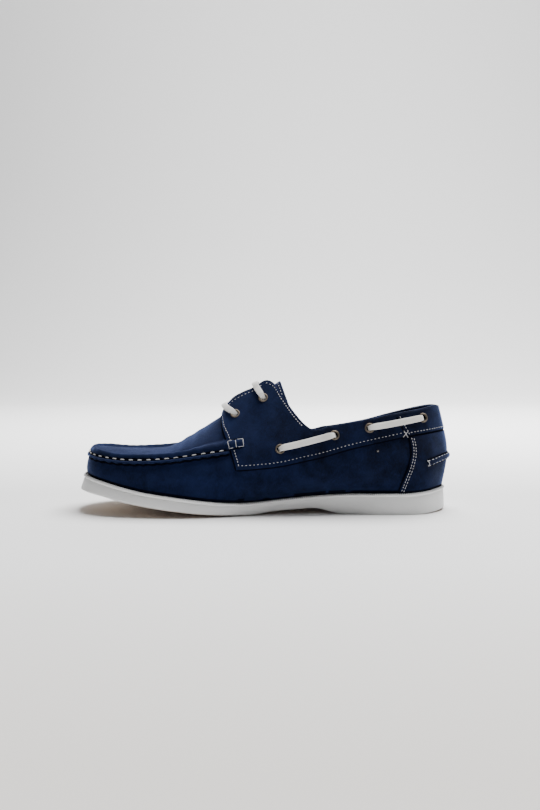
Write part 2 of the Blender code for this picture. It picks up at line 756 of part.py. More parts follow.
def make_seam_ridge(medial, lateral, finish):
    """The plug's edge, sewn over the vamp's in a raised lip from eyestay to eyestay round the toe."""
    last = THROAT_STATION + 1
    order = [(medial, i) for i in range(last, 0, -1)] + [(lateral, i) for i in range(last + 1)]
    seam = np.array([rows[WALL_ROWS][i] for rows, i in order])
    sections = []
    for (rows, i), place, ahead in zip(order, seam, np.gradient(seam, axis=0)):
        forward = unit(ahead)
        above = rows[-1][1] if i == 0 else rows[WALL_ROWS + 1][i]
        down = unit(square_to(rows[WALL_ROWS - 1][i] - place, forward))
        up = unit(square_to(above - place, forward))
        wall_out = np.cross(forward, down)
        cap_out = np.cross(up, forward)
        middle = unit(wall_out + cap_out)
        lowest = place + down * RIDGE_BELOW
        highest = place + up * RIDGE_ABOVE
        sections.append(np.array((
            lowest + wall_out * RIDGE_CLEAR,
            lowest + wall_out * (RIDGE_CLEAR + RIDGE_LIP),
            place + middle * (RIDGE_CLEAR + RIDGE_CREST),
            highest + cap_out * (RIDGE_CLEAR + RIDGE_EDGE),
            highest + cap_out * RIDGE_CLEAR,
            place + middle * RIDGE_CLEAR / max(middle.dot(wall_out), 0.5),
        )))
    for end, before in ((0, 1), (-1, -2)):
        sections[end] = sections[before] + (sections[end] - sections[before]) * RIDGE_LAST_STEP
    return tube_of("moc_seam_ridge", sections, finish)


def roll_sections(places, normals, width, thickness):
    """Half-round sections, for a roll of leather that lies on the surface along a row of places."""
    places = np.array(places)
    ahead = np.gradient(places, axis=0)
    sections = []
    for i, (place, normal) in enumerate(zip(places, normals)):
        across = unit(np.cross(normal, ahead[i]))
        swell = 1.0 if 0 < i < len(places) - 1 else 0.72
        half = width / 2 * swell
        high = thickness * swell
        sections.append(np.array([
            place + across * half * a + normal * high * b
            for a, b in ((-0.75, 0.0), (-1.0, 0.45), (-0.55, 1.0), (0.55, 1.0), (1.0, 0.45), (0.75, 0.0))
        ]))
    return sections


def make_seam_tabs(surface, finish):
    """The end of the seam's roll, laid over the front of each eyestay."""
    for side in SIDES:
        seats = []
        for t in np.linspace(0, 1, 4):
            along = TAB_START.along + (TAB_END.along - TAB_START.along) * t
            height = TAB_START.height + (TAB_END.height - TAB_START.height) * t
            seats.append(surface.seat(along, height, side, OVERLAY_OUTER + SEAT_GAP))
        sections = roll_sections([s[0] for s in seats], [s[1] for s in seats], TAB_WIDTH, TAB_THICKNESS)
        tube_of("seam_tab_" + side, sections, finish)


def make_heel_roll(surface, finish):
    """The whipped roll across the back of the counter."""
    reach = math.radians(HEEL_ROLL_REACH)
    seats = []
    for angle in np.linspace(-reach, reach, 13):
        height = HEEL_ROLL_LOW + (HEEL_ROLL_HIGH - HEEL_ROLL_LOW) * math.cos(angle / reach * math.pi / 2)
        centre = (HEEL_ROLL_CENTRE * GRADE[0], 0.0, height * GRADE[2])
        direction = (math.cos(angle), math.sin(angle), 0.0)
        seats.append(surface.seat_from(centre, direction, OVERLAY_OUTER + SEAT_GAP))
    places = [s[0] for s in seats]
    normals = [s[1] for s in seats]
    sections = roll_sections(places, normals, HEEL_ROLL_WIDTH, HEEL_ROLL_THICKNESS)
    tube_of("heel_roll", sections, finish)


def make_eyelets(surface, overlays, upper, finish):
    """Rolled eyelets in holes of the eyestays and the back collar; the throat's go through the upper too."""
    barrel_foot = 0.25 - OVERLAY_OUTER + OVERLAY_INNER
    profile = (
        (EYELET_BORE_RADIUS, barrel_foot),
        (EYELET_BARREL_RADIUS, barrel_foot),
        (EYELET_BARREL_RADIUS, GAP),
        (EYELET_FLANGE_RADIUS, GAP),
        (EYELET_FLANGE_RADIUS - 0.5, GAP + EYELET_FLANGE_HEIGHT),
        (EYELET_BORE_RADIUS, GAP + EYELET_FLANGE_HEIGHT - 0.2),
    )
    for side in SIDES:
        for name, centre in zip(EYELETS, lowered(EYELETS.values(), side)):
            place, normal = surface.seat(centre.along, centre.height, side, OVERLAY_OUTER)
            first = unit(np.cross(normal, (0.0, 0.0, 1.0)))
            second = np.cross(normal, first)
            points = []
            for step in range(EYELET_SIDES):
                angle = 2 * math.pi * step / EYELET_SIDES
                spoke = first * math.cos(angle) + second * math.sin(angle)
                points += [place + spoke * radius + normal * height for radius, height in profile]
            count = len(profile)
            faces = []
            for step in range(EYELET_SIDES):
                after = (step + 1) % EYELET_SIDES
                for j in range(count):
                    k = (j + 1) % count
                    faces.append((step * count + j, step * count + k, after * count + k, after * count + j))
            solid("eyelet_" + name + "_" + side, points, faces, finish)
            through = name.startswith("throat")
            hole_from = -6.0 if through else -(OVERLAY_OUTER - OVERLAY_INNER) - 0.2
            sections = []
            for height in (hole_from, 3.0):
                sections.append(np.array([
                    place + normal * height
                    + EYELET_HOLE_RADIUS * (
                        first * math.cos(2 * math.pi * (step + 0.5) / EYELET_SIDES)
                        + second * math.sin(2 * math.pi * (step + 0.5) / EYELET_SIDES)
                    )
                    for step in range(EYELET_SIDES)
                ]))
            tool = tube_of("hole_" + name + "_" + side, sections, finish)
            tool.hide_render = True
            tool.display_type = "WIRE"
            carrier = "collar_back" if name == "heel" else "eyestay_" + side
            cut(overlays[carrier], tool, "DIFFERENCE")
            if through:
                cut(upper, tool, "DIFFERENCE")


def lace_sections(places, normals):
    """Flat sections with softened edges along a row of places, each resting on its place."""
    places = np.array(places)
    ahead = np.gradient(places, axis=0)
    half = LACE_WIDTH / 2
    flat = half - LACE_BEVEL
    profile = (
        (-half, 0.5 * LACE_THICKNESS),
        (-flat, LACE_THICKNESS),
        (flat, LACE_THICKNESS),
        (half, 0.5 * LACE_THICKNESS),
        (flat, 0.0),
        (-flat, 0.0),
    )
    sections = []
    for place, normal, forward in zip(places, normals, ahead):
        across = unit(np.cross(normal, forward))
        upright = unit(np.cross(forward, across))
        sections.append(np.array([place + across * a + upright * b for a, b in profile]))
    return sections


def make_laces(surface, finish):
    over_eyelet = OVERLAY_OUTER + EYELET_FLANGE_HEIGHT + 3 * GAP
    over_leather = OVERLAY_OUTER + SEAT_GAP
    for side in SIDES:
        for name, first, last in (("front", "side_front", "side_middle"), ("rear", "side_rear", "heel")):
            seats = []
            start, end = lowered((EYELETS[first], EYELETS[last]), side)
            run = end.along - start.along
            for t in (0.0, 0.11, 0.22, 0.36, 0.5, 0.64, 0.78, 0.89, 1.0):
                along = start.along + run * t
                height = start.height * (1 - t) + end.height * t
                clear_of_eyelet = min(t, 1 - t) * run - EYELET_FLANGE_RADIUS - 1.2
                rest = min(max(clear_of_eyelet / 5.0, 0.0), 1.0)
                lift = over_eyelet + (over_leather - over_eyelet) * rest**2 * (3 - 2 * rest)
                seats.append(surface.seat(along, height, side, lift))
            sections = lace_sections([s[0] for s in seats], [s[1] for s in seats])
            tube_of("lace_" + name + "_" + side, sections, finish)
    for name, crossing in LACE_CROSSINGS.items():
        eyelet = EYELETS["throat_" + name]
        halves = []
        for side in SIDES:
            places = []
            normals = []
            for t in (0.0, 0.4, 0.8):
                along = eyelet.along * (1 - t) + crossing.along * t
                height = eyelet.height * (1 - t) + crossing.height * t
                place, normal = surface.seat(along, height, side, over_eyelet)
                places.append(place)
                normals.append(normal)
            edge = np.array((crossing.along, SIDES[side] * 10.0, crossing.height)) * GRADE
            over = unit(normals[-1] * 0.6 + np.array((-0.2, 0.0, 0.5)))
            places.append(edge + over * (OVERLAY_OUTER + GAP + 0.9))
            normals.append(over)
            halves.append((places, normals))
        centre = np.array((crossing.along - 0.6, 0.0, crossing.height + 2.4)) * GRADE
        places = np.array(halves[0][0] + [centre] + halves[1][0][::-1])
        normals = np.array(halves[0][1] + [np.array((-0.45, 0.0, 0.89))] + halves[1][1][::-1])
        knots = np.arange(len(places), dtype=float)
        steps = np.linspace(0.0, knots[-1], 13)
        smooth_places = np.stack([curve(knots, places[:, axis], steps) for axis in range(3)], axis=1)
        smooth_normals = np.stack([curve(knots, normals[:, axis], steps) for axis in range(3)], axis=1)
        tube_of("lace_throat_" + name, lace_sections(smooth_places, smooth_normals), finish)


def centre_on_floor():
    """Moves every mesh so that the origin is on the floor under the middle of the solids."""
    shown = [made for made in bpy.data.objects if not made.hide_render]
    points = np.array([tuple(v.co) for made in shown for v in made.data.vertices])
    middle = (points.min(axis=0) + points.max(axis=0)) / 2
    shift = Matrix.Translation((-middle[0], -middle[1], -points[:, 2].min()))
    for made in bpy.data.objects:
        made.data.transform(shift)


def clear_scene():
    for existing in list(bpy.data.objects):
        bpy.data.objects.remove(existing, do_unlink=True)


def main():
    clear_scene()
    nubuck = material("navy_nubuck", (0.012, 0.028, 0.085), 0.92)
    overlay_nubuck = material("navy_nubuck_overlay", (0.013, 0.031, 0.092), 0.92)
    rubber = material("white_rubber", (0.62, 0.62, 0.61), 0.55)
    lining = material("insole_leather", (0.42, 0.31, 0.2), 0.7)
    lace = material("white_lace_leather", (0.76, 0.75, 0.72), 0.6)
    brass = material("antique_brass", (0.3, 0.25, 0.18), 0.4, 1.0)

    make_outsole(rubber)
    surface, medial, lateral = upper_surface()
    upper = surface.shell("upper", -WALL, 0.0, nubuck)
    make_insole(lining)
    make_tongue(medial, lateral, nubuck)
    make_seam_ridge(medial, lateral, nubuck)
    overlays = make_overlays(surface, overlay_nubuck)
    make_seam_tabs(surface, nubuck)
    make_heel_roll(surface, nubuck)
    make_eyelets(surface, overlays, upper, brass)
    make_laces(surface, lace)
    centre_on_floor()


main()
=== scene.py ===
"""A boat-shoe loafer for the right foot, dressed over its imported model.

Pattern sizes are millimetres, drawn with the toe towards -X and the medial side towards -Y; a mesh is
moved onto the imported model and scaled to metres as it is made.
"""

import math
from collections import namedtuple
from functools import cache

import bpy
import numpy as np
from bpy.props import FloatProperty, FloatVectorProperty, PointerProperty
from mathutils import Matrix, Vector, noise
from mathutils.bvhtree import BVHTree


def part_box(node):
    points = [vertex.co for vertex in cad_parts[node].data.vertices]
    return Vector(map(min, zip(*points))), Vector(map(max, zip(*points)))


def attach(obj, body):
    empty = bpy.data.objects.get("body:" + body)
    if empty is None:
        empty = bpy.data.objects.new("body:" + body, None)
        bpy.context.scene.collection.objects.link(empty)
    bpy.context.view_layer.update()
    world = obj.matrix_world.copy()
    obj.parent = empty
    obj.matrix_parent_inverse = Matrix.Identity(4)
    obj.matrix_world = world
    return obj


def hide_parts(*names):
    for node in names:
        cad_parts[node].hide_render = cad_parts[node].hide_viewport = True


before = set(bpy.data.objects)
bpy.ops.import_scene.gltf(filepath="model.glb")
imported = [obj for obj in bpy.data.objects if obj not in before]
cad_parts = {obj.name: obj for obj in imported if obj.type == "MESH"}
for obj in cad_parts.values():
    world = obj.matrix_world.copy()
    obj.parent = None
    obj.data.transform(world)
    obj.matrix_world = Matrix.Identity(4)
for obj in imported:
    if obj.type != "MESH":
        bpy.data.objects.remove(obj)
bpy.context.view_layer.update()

bl_info = {
    "name": "Boat-shoe loafer",
    "version": (1, 0, 0),
    "blender": (4, 5, 0),
    "location": "3D View > Sidebar > Loafer",
    "description": "Models a navy nubuck boat-shoe loafer on its packed model, piece by piece",
    "category": "Add Mesh",
}

MM = 0.001
SIDES = {"medial": -1.0, "lateral": 1.0}
FORWARD = np.array((1.0, 0.0, 0.0))
UP = np.array((0.0, 0.0, 1.0))

# The upper's wall, the clearance between pieces, and where an overlay's two faces stand off the skin.
WALL = 1.8
GAP = 0.35
OVERLAY_INNER = 0.35
OVERLAY_OUTER = 1.45

# How far inside the sole's top edge the upper meets it.
WELT_MARGIN = 2.7
TONGUE_THICKNESS = 2.4

# The lip round the top of the sole: its height, how far it stands over the wall below, and its rounded edges.
SOLE_LIP_HEIGHT = 1.1
SOLE_LIP_STEP = 0.45
LIP_ROUND = 0.3

# The topline runs lower on the lateral side, clear of the ankle; its band, eyelets and lace go down with it.
LATERAL_DROP = 5.1
DROP_START = 0.0
DROP_RISE = 37.0
TOPLINE_DROP_END = 139.5
TOPLINE_DROP_FALL = 60.0
BAND_DROP_END = 116.0
BAND_DROP_FALL = 37.0

EYELET_HOLE_RADIUS = 3.3

# The painted shade under the overlays, a dark sheet: how far it shows beyond its overlay, where its face
# lies, and its thickness.
PAINTED_SHADE_SPREAD = 1.1
PAINTED_SHADE_LIFT = 0.4
PAINTED_SHADE_THICKNESS = 0.35

# Painted shade darkens the leather up to these heights above the sole's edge, where the upper meets the sole;
# points nearer than the snap go on that line.
UPPER_PAINTED_SHADE_RISE = 3.1
COUNTER_PAINTED_SHADE_RISE = 2.7
PAINTED_SHADE_SNAP = 0.8


def rows_of(kind, *rows):
    """A table with its rows named."""
    return tuple(kind(*row) for row in rows)


# A line right round the shoe: its distance along, its medial and lateral reach, and its height.
Row = namedtuple("Row", "along medial lateral height")

SOLE_TOP = rows_of(
    Row,
    (-146.1, 0.0, 0.0, 28.6),
    (-143.0, 17.0, 13.5, 28.4),
    (-137.0, 26.5, 23.5, 27.7),
    (-126.0, 35.5, 33.0, 25.5),
    (-110.0, 42.5, 41.0, 22.0),
    (-90.0, 46.5, 47.0, 18.0),
    (-70.0, 48.5, 51.0, 15.2),
    (-50.0, 48.0, 53.0, 12.5),
    (-30.0, 44.5, 53.0, 10.3),
    (-10.0, 38.0, 51.0, 9.7),
    (15.0, 32.5, 46.5, 11.7),
    (40.0, 30.0, 41.0, 13.8),
    (65.0, 30.5, 37.0, 15.3),
    (90.0, 33.0, 35.0, 15.7),
    (110.0, 33.0, 34.0, 15.8),
    (125.0, 29.5, 30.5, 16.7),
    (137.6, 19.0, 20.0, 17.9),
    (145.3, 0.0, 0.0, 18.2),
)

BELLY = rows_of(
    Row,
    (-144.4, 0.0, 0.0, 35.0),
    (-141.5, 16.5, 13.5, 34.5),
    (-134.5, 27.8, 24.5, 33.5),
    (-122.0, 35.5, 33.0, 31.5),
    (-106.0, 41.3, 40.0, 29.0),
    (-86.0, 44.5, 45.5, 27.0),
    (-66.0, 46.0, 49.0, 26.0),
    (-46.0, 45.8, 50.5, 26.0),
    (-26.0, 44.0, 50.0, 28.0),
    (-6.0, 42.0, 48.0, 30.0),
    (14.0, 40.5, 44.5, 32.0),
    (34.0, 39.5, 41.0, 33.0),
    (54.0, 38.0, 38.0, 34.0),
    (74.0, 36.5, 36.5, 36.0),
    (94.0, 34.3, 35.0, 38.0),
    (112.0, 31.5, 32.0, 40.0),
    (126.0, 26.5, 27.0, 42.0),
    (138.8, 15.5, 16.0, 44.0),
    (146.9, 0.0, 0.0, 45.5),
)

# The moccasin seam from the toe to the eyestay, and on from there a line below the collar.
SHOULDER = rows_of(
    Row,
    (-141.0, 0.0, 0.0, 47.4),
    (-139.3, 10.5, 9.0, 47.1),
    (-135.5, 18.5, 15.8, 46.3),
    (-128.5, 25.5, 23.0, 45.2),
    (-118.0, 31.5, 30.2, 44.1),
    (-106.0, 36.0, 36.0, 43.5),
    (-90.0, 39.2, 40.7, 43.8),
    (-70.0, 40.5, 43.8, 45.4),
    (-52.0, 40.0, 44.0, 48.0),
    (-35.0, 38.0, 42.5, 50.3),
    (-16.0, 36.5, 40.5, 53.5),
    (5.0, 36.5, 39.0, 54.5),
    (35.0, 36.8, 38.0, 54.0),
    (60.0, 35.2, 35.5, 57.0),
    (90.0, 31.6, 32.2, 62.0),
    (112.0, 26.8, 27.2, 65.0),
    (126.0, 20.5, 21.0, 66.5),
    (136.8, 12.0, 12.0, 67.3),
    (143.6, 0.0, 0.0, 67.5),
)

# The crown of the plug, closed over the foot, up to the throat.
Crown = namedtuple("Crown", "along height")
CROWN = (
    Crown(-141.0, 47.2),
    Crown(-138.0, 49.0),
    Crown(-133.0, 49.7),
    Crown(-124.0, 49.4),
    Crown(-105.0, 48.0),
    Crown(-90.0, 47.7),
    Crown(-79.0, 50.0),
    Crown(-69.0, 54.8),
    Crown(-60.0, 60.2),
    Crown(-50.0, 66.2),
    Crown(-35.0, 75.4),
)

# The free edge behind the throat: the eyestay flap, then the topline round to the heel.
TOP_EDGE = rows_of(
    Row,
    (-35.0, 8.0, 8.0, 75.5),
    (-31.5, 9.3, 9.3, 81.8),
    (-27.0, 9.8, 9.8, 87.6),
    (-19.0, 10.0, 10.0, 92.8),
    (-8.8, 10.0, 10.0, 97.3),
    (1.9, 10.2, 10.2, 103.2),
    (6.5, 11.6, 11.6, 101.6),
    (14.3, 18.0, 18.5, 91.0),
    (23.5, 26.3, 27.0, 78.3),
    (29.5, 30.3, 31.3, 71.4),
    (35.6, 32.3, 33.5, 66.8),
    (50.0, 32.0, 33.3, 68.4),
    (73.6, 30.3, 31.5, 72.6),
    (102.5, 25.6, 26.2, 78.4),
    (117.5, 20.6, 21.0, 80.8),
    (128.4, 14.4, 14.6, 82.7),
    (135.7, 7.8, 8.0, 83.9),
    (139.5, 0.0, 0.0, 83.0),
)

# The sole's underside along its length, how far the foot of its side stands out from the top edge,
# and how far in from that foot the tread begins.
Underside = namedtuple("Underside", "along height edge flare tuck")
UNDERSIDE = rows_of(
    Underside,
    (-149.0, 17.6, 1.6, 2.9, 4.0),
    (-138.0, 16.6, 2.4, 2.4, 8.0),
    (-126.0, 14.6, 3.4, 1.6, 11.0),
    (-107.0, 9.9, 4.3, 0.8, 13.0),
    (-87.0, 5.9, 5.0, 0.3, 14.0),
    (-68.0, 3.1, 5.2, 0.0, 14.0),
    (-50.0, 0.9, 5.2, -0.4, 14.0),
    (-36.0, 0.0, 4.5, -1.0, 14.0),
    (-12.0, 0.0, 2.2, -2.2, 8.0),
    (10.5, 3.1, 1.2, -3.2, 4.0),
    (26.0, 4.2, 1.0, -3.4, 2.2),
    (37.5, 4.9, 1.0, -3.3, 2.2),
    (40.5, 4.7, 1.0, -3.2, 2.2),
    (58.5, 0.3, 1.4, -2.0, 2.2),
    (62.0, 0.0, 1.6, -1.6, 2.2),
    (90.0, 0.0, 1.6, -0.4, 2.2),
    (118.0, 0.0, 1.6, 0.0, 2.2),
    (145.3, 2.0, 1.6, 0.2, 2.2),
)

# Outlines of the overlays, seen from the side.
Point = namedtuple("Point", "along height")

EYESTAY_FRONT = rows_of(
    Point,
    (-35.6, 84.0), (-34.8, 75.0), (-31.6, 63.3), (-29.4, 58.6), (-26.4, 51.7),
    (-21.6, 36.4),
)
EYESTAY_FOOT = rows_of(
    Point,
    (-21.6, 36.4), (-3.6, 37.6), (14.0, 39.6), (27.0, 42.4), (44.5, 46.2),
    (65.3, 51.9), (87.0, 56.6), (99.0, 59.0), (110.8, 61.2), (130.4, 63.6),
    (152.0, 65.4),
)
COLLAR_SEAM = rows_of(
    Point,
    (110.8, 61.2), (101.6, 78.5), (98.0, 88.0),
)
COUNTER_FRONT = rows_of(
    Point,
    (111.7, 61.2), (113.8, 54.5), (114.2, 48.2), (112.0, 38.0), (108.2, 28.0),
    (103.4, 15.0),
)

# Eyelet centres, seen from the side; the same on both sides of the shoe.
EYELETS = {
    "throat_low": Point(-23.2, 77.5),
    "throat_high": Point(-1.2, 90.0),
    "side_front": Point(11.8, 51.6),
    "side_middle": Point(53.7, 62.0),
    "side_rear": Point(81.0, 67.4),
    "heel": Point(123.9, 74.5),
}

# Sections of the tongue: where the peak is, and how far its sides lie behind the peak.
TONGUE_SECTIONS = (
    (-46.0, 0.0),
    (-40.0, 0.0),
    (-35.0, 0.0),
    (-28.0, 0.5),
    (-20.0, 1.5),
    (-11.0, 3.0),
    (-2.0, 6.5),
    (6.0, 10.5),
    (12.0, 15.5),
)


# ---- Lines and curves ----

def curve(knots, values, places):
    """Smooth line through (knots, values), read at places, with slopes from each knot's two neighbours."""
    knots = np.asarray(knots, float)
    values = np.asarray(values, float)
    step = np.diff(knots)
    rise = np.diff(values) / step
    slope = np.empty_like(values)
    slope[1:-1] = (rise[:-1] * step[1:] + rise[1:] * step[:-1]) / (step[1:] + step[:-1])
    slope[0] = 2 * rise[0] - slope[1]
    slope[-1] = 2 * rise[-1] - slope[-2]
    cell = np.clip(np.searchsorted(knots, places, side="right") - 1, 0, len(step) - 1)
    width = step[cell]
    t = np.clip((places - knots[cell]) / width, 0.0, 1.0)
    keep = 1 - 3 * t**2 + 2 * t**3
    take = 1 - keep
    leave = t * (1 - t) ** 2
    arrive = -(t**2) * (1 - t)
    return (
        keep * values[cell]
        + take * values[cell + 1]
        + width * (leave * slope[cell] + arrive * slope[cell + 1])
    )


def turn_of(table, along):
    """Angle of a distance along a line round the shoe: 0 at its toe end, pi at its heel end."""
    toe = table[0].along
    heel = table[-1].along
    return np.arccos(np.clip(1 - 2 * (np.asarray(along) - toe) / (heel - toe), -1.0, 1.0))


def column(table, name):
    """One measure of every row of a table."""
    return np.array([getattr(row, name) for row in table])


def line_round(table, turns, side):
    """One side of a line round the shoe, from toe to heel, at the given angles."""
    knots = turn_of(table, column(table, "along"))
    toe = table[0].along
    heel = table[-1].along
    along = toe + (heel - toe) * (1 - np.cos(turns)) / 2
    reach = curve(knots, column(table, side), turns) * SIDES[side]
    height = curve(knots, column(table, "height"), turns)
    return np.stack((along, reach, height), axis=1)


def ring(medial, lateral):
    """Closed ring of points: down the medial side from toe to heel, and back up the lateral side."""
    return np.concatenate((medial, lateral[-2:0:-1]))


def push_out(points, distance):
    """A closed ring moved outwards in plan by a distance, one for all or one for each point."""
    tangent = np.roll(points, -1, axis=0) - np.roll(points, 1, axis=0)
    normal = unit_rows(np.stack((tangent[:, 1], -tangent[:, 0]), axis=1))
    centre = points[:, :2].mean(axis=0)
    if np.sum((points[:, :2] - centre) * normal) < 0:
        normal = -normal
    moved = points.copy()
    moved[:, :2] += normal * np.reshape(distance, (-1, 1))
    return moved


def sole_top_height(along):
    """Height of the sole's top edge."""
    knots = turn_of(SOLE_TOP, column(SOLE_TOP, "along"))
    return curve(knots, column(SOLE_TOP, "height"), turn_of(SOLE_TOP, along))


def underside_height(along):
    """Height of the tread; between the table's rows of no height it is dead flat on the floor."""
    height = curve(column(UNDERSIDE, "along"), column(UNDERSIDE, "height"), along)
    on_floor = np.zeros_like(along, bool)
    for near, far in zip(UNDERSIDE, UNDERSIDE[1:]):
        if near.height == 0.0 and far.height == 0.0:
            on_floor |= (along >= near.along) & (along <= far.along)
    return np.where(on_floor, 0.0, np.maximum(height, 0.0))


def drop(along, side, end, length):
    """How much lower a line of one side runs than its table, fading out over a length before its end."""
    if side == "medial":
        return 0.0 * along
    rise = np.clip((along - DROP_START) / DROP_RISE, 0.0, 1.0)
    fall = np.clip((end - along) / length, 0.0, 1.0)
    return LATERAL_DROP * rise**2 * (3 - 2 * rise) * fall**2 * (3 - 2 * fall)


def lowered(points, side):
    """Side-view points at the heights they have on one side of the shoe."""
    return [(p[0], p[1] - drop(p[0], side, BAND_DROP_END, BAND_DROP_FALL)) for p in points]


def unit(vector):
    """A vector made one long."""
    return vector / np.linalg.norm(vector)


def unit_rows(vectors):
    """Rows of vectors, each made one long."""
    return vectors / np.linalg.norm(vectors, axis=1)[:, None]


def square_to(vector, axis):
    """The part of a vector that is square to a unit axis."""
    return vector - axis * vector.dot(axis)


def smooth_step(value):
    """Nothing up to 0, one from 1 on, and a smooth rise between them."""
    value = np.clip(value, 0.0, 1.0)
    return value * value * (3 - 2 * value)


def hermite(start, leave, end, arrive, share):
    """Point at a share of the curve that leaves start along one vector and arrives at end along another."""
    keep = 1 - 3 * share**2 + 2 * share**3
    pull = share * (1 - share) ** 2 * leave - share**2 * (1 - share) * arrive
    return keep * start + (1 - keep) * end + pull


def lengths_along(line):
    """Distance of each point of a line from its first point."""
    return np.concatenate(([0.0], np.cumsum(np.linalg.norm(np.diff(line, axis=0), axis=1))))


def read_at(distances, reach, line):
    """Points at distances along a line, straight between its own points."""
    return np.stack([np.interp(distances, reach, values) for values in line.T], axis=1)


def curve_at(distances, reach, line):
    """Points at distances along the smooth line through a line's points."""
    return np.stack([curve(reach, values, distances) for values in line.T], axis=1)


def smooth_line(knots, step):
    """Smooth run of places through knots, one every step along it."""
    knots = np.array([tuple(k) for k in knots], float)
    reach = lengths_along(knots)
    distances = np.linspace(0.0, reach[-1], max(int(reach[-1] / step), 2) + 1)
    if len(knots) == 2:
        return read_at(distances, reach, knots)
    return curve_at(distances, reach, knots)


def inset(line, distance):
    """A side-view line moved to its left."""
    line = np.array([tuple(p) for p in line], float)
    run = unit_rows(np.gradient(line, axis=0))
    return line + np.stack((-run[:, 1], run[:, 0]), axis=1) * distance


# ---- Working as by hand: primitives, welds and modifiers ----

def deselect():
    """Object mode with nothing selected."""
    if bpy.context.object and bpy.context.object.mode != "OBJECT":
        leave_edit()
    bpy.ops.object.select_all(action="DESELECT")


def pick(piece):
    """Object mode with one piece active and selected."""
    deselect()
    bpy.context.view_layer.objects.active = piece
    piece.select_set(True)


def edit_all(piece):
    """Edit mode on one piece with all of it selected."""
    pick(piece)
    bpy.context.tool_settings.mesh_select_mode = (True, False, False)
    bpy.ops.object.mode_set(mode="EDIT")
    bpy.ops.mesh.select_all(action="SELECT")


def leave_edit():
    """Back to object mode."""
    bpy.ops.object.mode_set(mode="OBJECT")


def weld(piece, distance=0.02, outwards=False):
    """Merges points that lie together, which closes the seams and poles of a rolled-up grid."""
    edit_all(piece)
    bpy.ops.mesh.remove_doubles(threshold=distance * MM)
    bpy.ops.mesh.dissolve_degenerate(threshold=1e-7)
    if outwards:
        bpy.ops.mesh.normals_make_consistent(inside=False)
    leave_edit()


def close_ends(piece, distance=0.01):
    """Welds a rolled-up grid, closes its open ends and turns its faces outwards."""
    weld(piece, distance)
    edit_all(piece)
    bpy.ops.mesh.fill_holes(sides=0)
    bpy.ops.mesh.normals_make_consistent(inside=False)
    leave_edit()


def apply_modifier(piece, kind, **values):
    """Adds a modifier with the given values and applies it."""
    pick(piece)
    step = piece.modifiers.new(kind.title(), kind)
    for name, value in values.items():
        setattr(step, name, value)
    bpy.ops.object.modifier_apply(modifier=step.name)


@cache
def shift():
    """From the pattern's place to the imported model's: both have the outsole in them."""
    low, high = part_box("outsole")
    foot = sole_rings(SHIFT_STEPS)["foot"]
    return np.array((
        low.x / MM - foot[:, 0].min(),
        (low.y + high.y) / 2 / MM - (foot[:, 1].min() + foot[:, 1].max()) / 2,
        low.z / MM,
    ))


def put_points(piece, places):
    """Moves a piece's points to places given in the pattern's millimetres."""
    piece.data.vertices.foreach_set("co", ((np.reshape(places, (-1, 3)) + shift()) * MM).ravel())
    piece.data.update()


def get_points(piece):
    """A piece's points and their normals, in the pattern's millimetres."""
    count = len(piece.data.vertices)
    points = np.empty(count * 3)
    normals = np.empty(count * 3)
    piece.data.vertices.foreach_get("co", points)
    piece.data.vertices.foreach_get("normal", normals)
    return points.reshape(-1, 3) / MM - shift(), normals.reshape(-1, 3)


def sheet(name, places):
    """A grid primitive whose points are moved to rows of places."""
    rows, columns = places.shape[:2]
    deselect()
    bpy.ops.mesh.primitive_grid_add(x_subdivisions=columns - 1, y_subdivisions=rows - 1, size=1.0)
    piece = bpy.context.object
    piece.name = name
    piece.data.name = name
    put_points(piece, places)
    return piece


def closed_sheet(name, rows):
    """A sheet of closed rings, its last column welded to its first, with its faces turned outwards."""
    places = np.array(rows)
    piece = sheet(name, np.concatenate((places, places[:, :1]), axis=1))
    weld(piece, 0.01, outwards=True)
    return piece


def new_piece(name, places, faces):
    """A piece made of faces between places given in the pattern's millimetres."""
    mesh = bpy.data.meshes.new(name)
    mesh.from_pydata([tuple(p) for p in (places + shift()) * MM], [], faces)
    piece = bpy.data.objects.new(name, mesh)
    bpy.context.scene.collection.objects.link(piece)
    return piece


def shape_of(piece):
    """A piece's points in metres and its faces, after which the piece is deleted."""
    points = np.empty(len(piece.data.vertices) * 3)
    piece.data.vertices.foreach_get("co", points)
    faces = [tuple(face.vertices) for face in piece.data.polygons]
    bpy.data.objects.remove(piece, do_unlink=True)
    return points.reshape(-1, 3), faces


def turned(name, profile, sides, closed):
    """A circle drawn out ring by ring along a profile of (radius, height), in millimetres."""
    deselect()
    radius, height = profile[0]
    bpy.ops.mesh.primitive_circle_add(
        vertices=sides, radius=radius * MM, location=(0.0, 0.0, height * MM),
        fill_type="NOTHING" if closed else "NGON",
    )
    piece = bpy.context.object
    piece.name = name
    edit_all(piece)
    leave_edit()
    bpy.ops.object.transform_apply(location=True, rotation=True, scale=True)
    edit_all(piece)
    for (radius, height), (next_radius, next_height) in zip(profile, profile[1:]):
        bpy.ops.mesh.extrude_region_move(
            TRANSFORM_OT_translate={"value": (0.0, 0.0, (next_height - height) * MM)}
        )
        ratio = next_radius / radius
        bpy.ops.transform.resize(value=(ratio, ratio, 1.0), center_override=(0.0, 0.0, next_height * MM))
    leave_edit()
    weld(piece, 0.005, outwards=True)
    return piece


Spot = namedtuple("Spot", "place along out")


def copies(name, shape, spots, size):
    """One mesh of copies of a shape: its X along each spot's run, its Z out of the surface."""
    points, faces = shape
    count = len(points)
    placed = []
    joined = []
    for number, spot in enumerate(spots):
        run = unit(spot.along)
        out = unit(square_to(spot.out, run))
        across = np.cross(out, run)
        scaled = points / MM * size
        placed.append(spot.place + scaled[:, :1] * run + scaled[:, 1:2] * across + scaled[:, 2:] * out)
        joined += [tuple(index + number * count for index in face) for face in faces]
    return new_piece(name, np.concatenate(placed), joined)


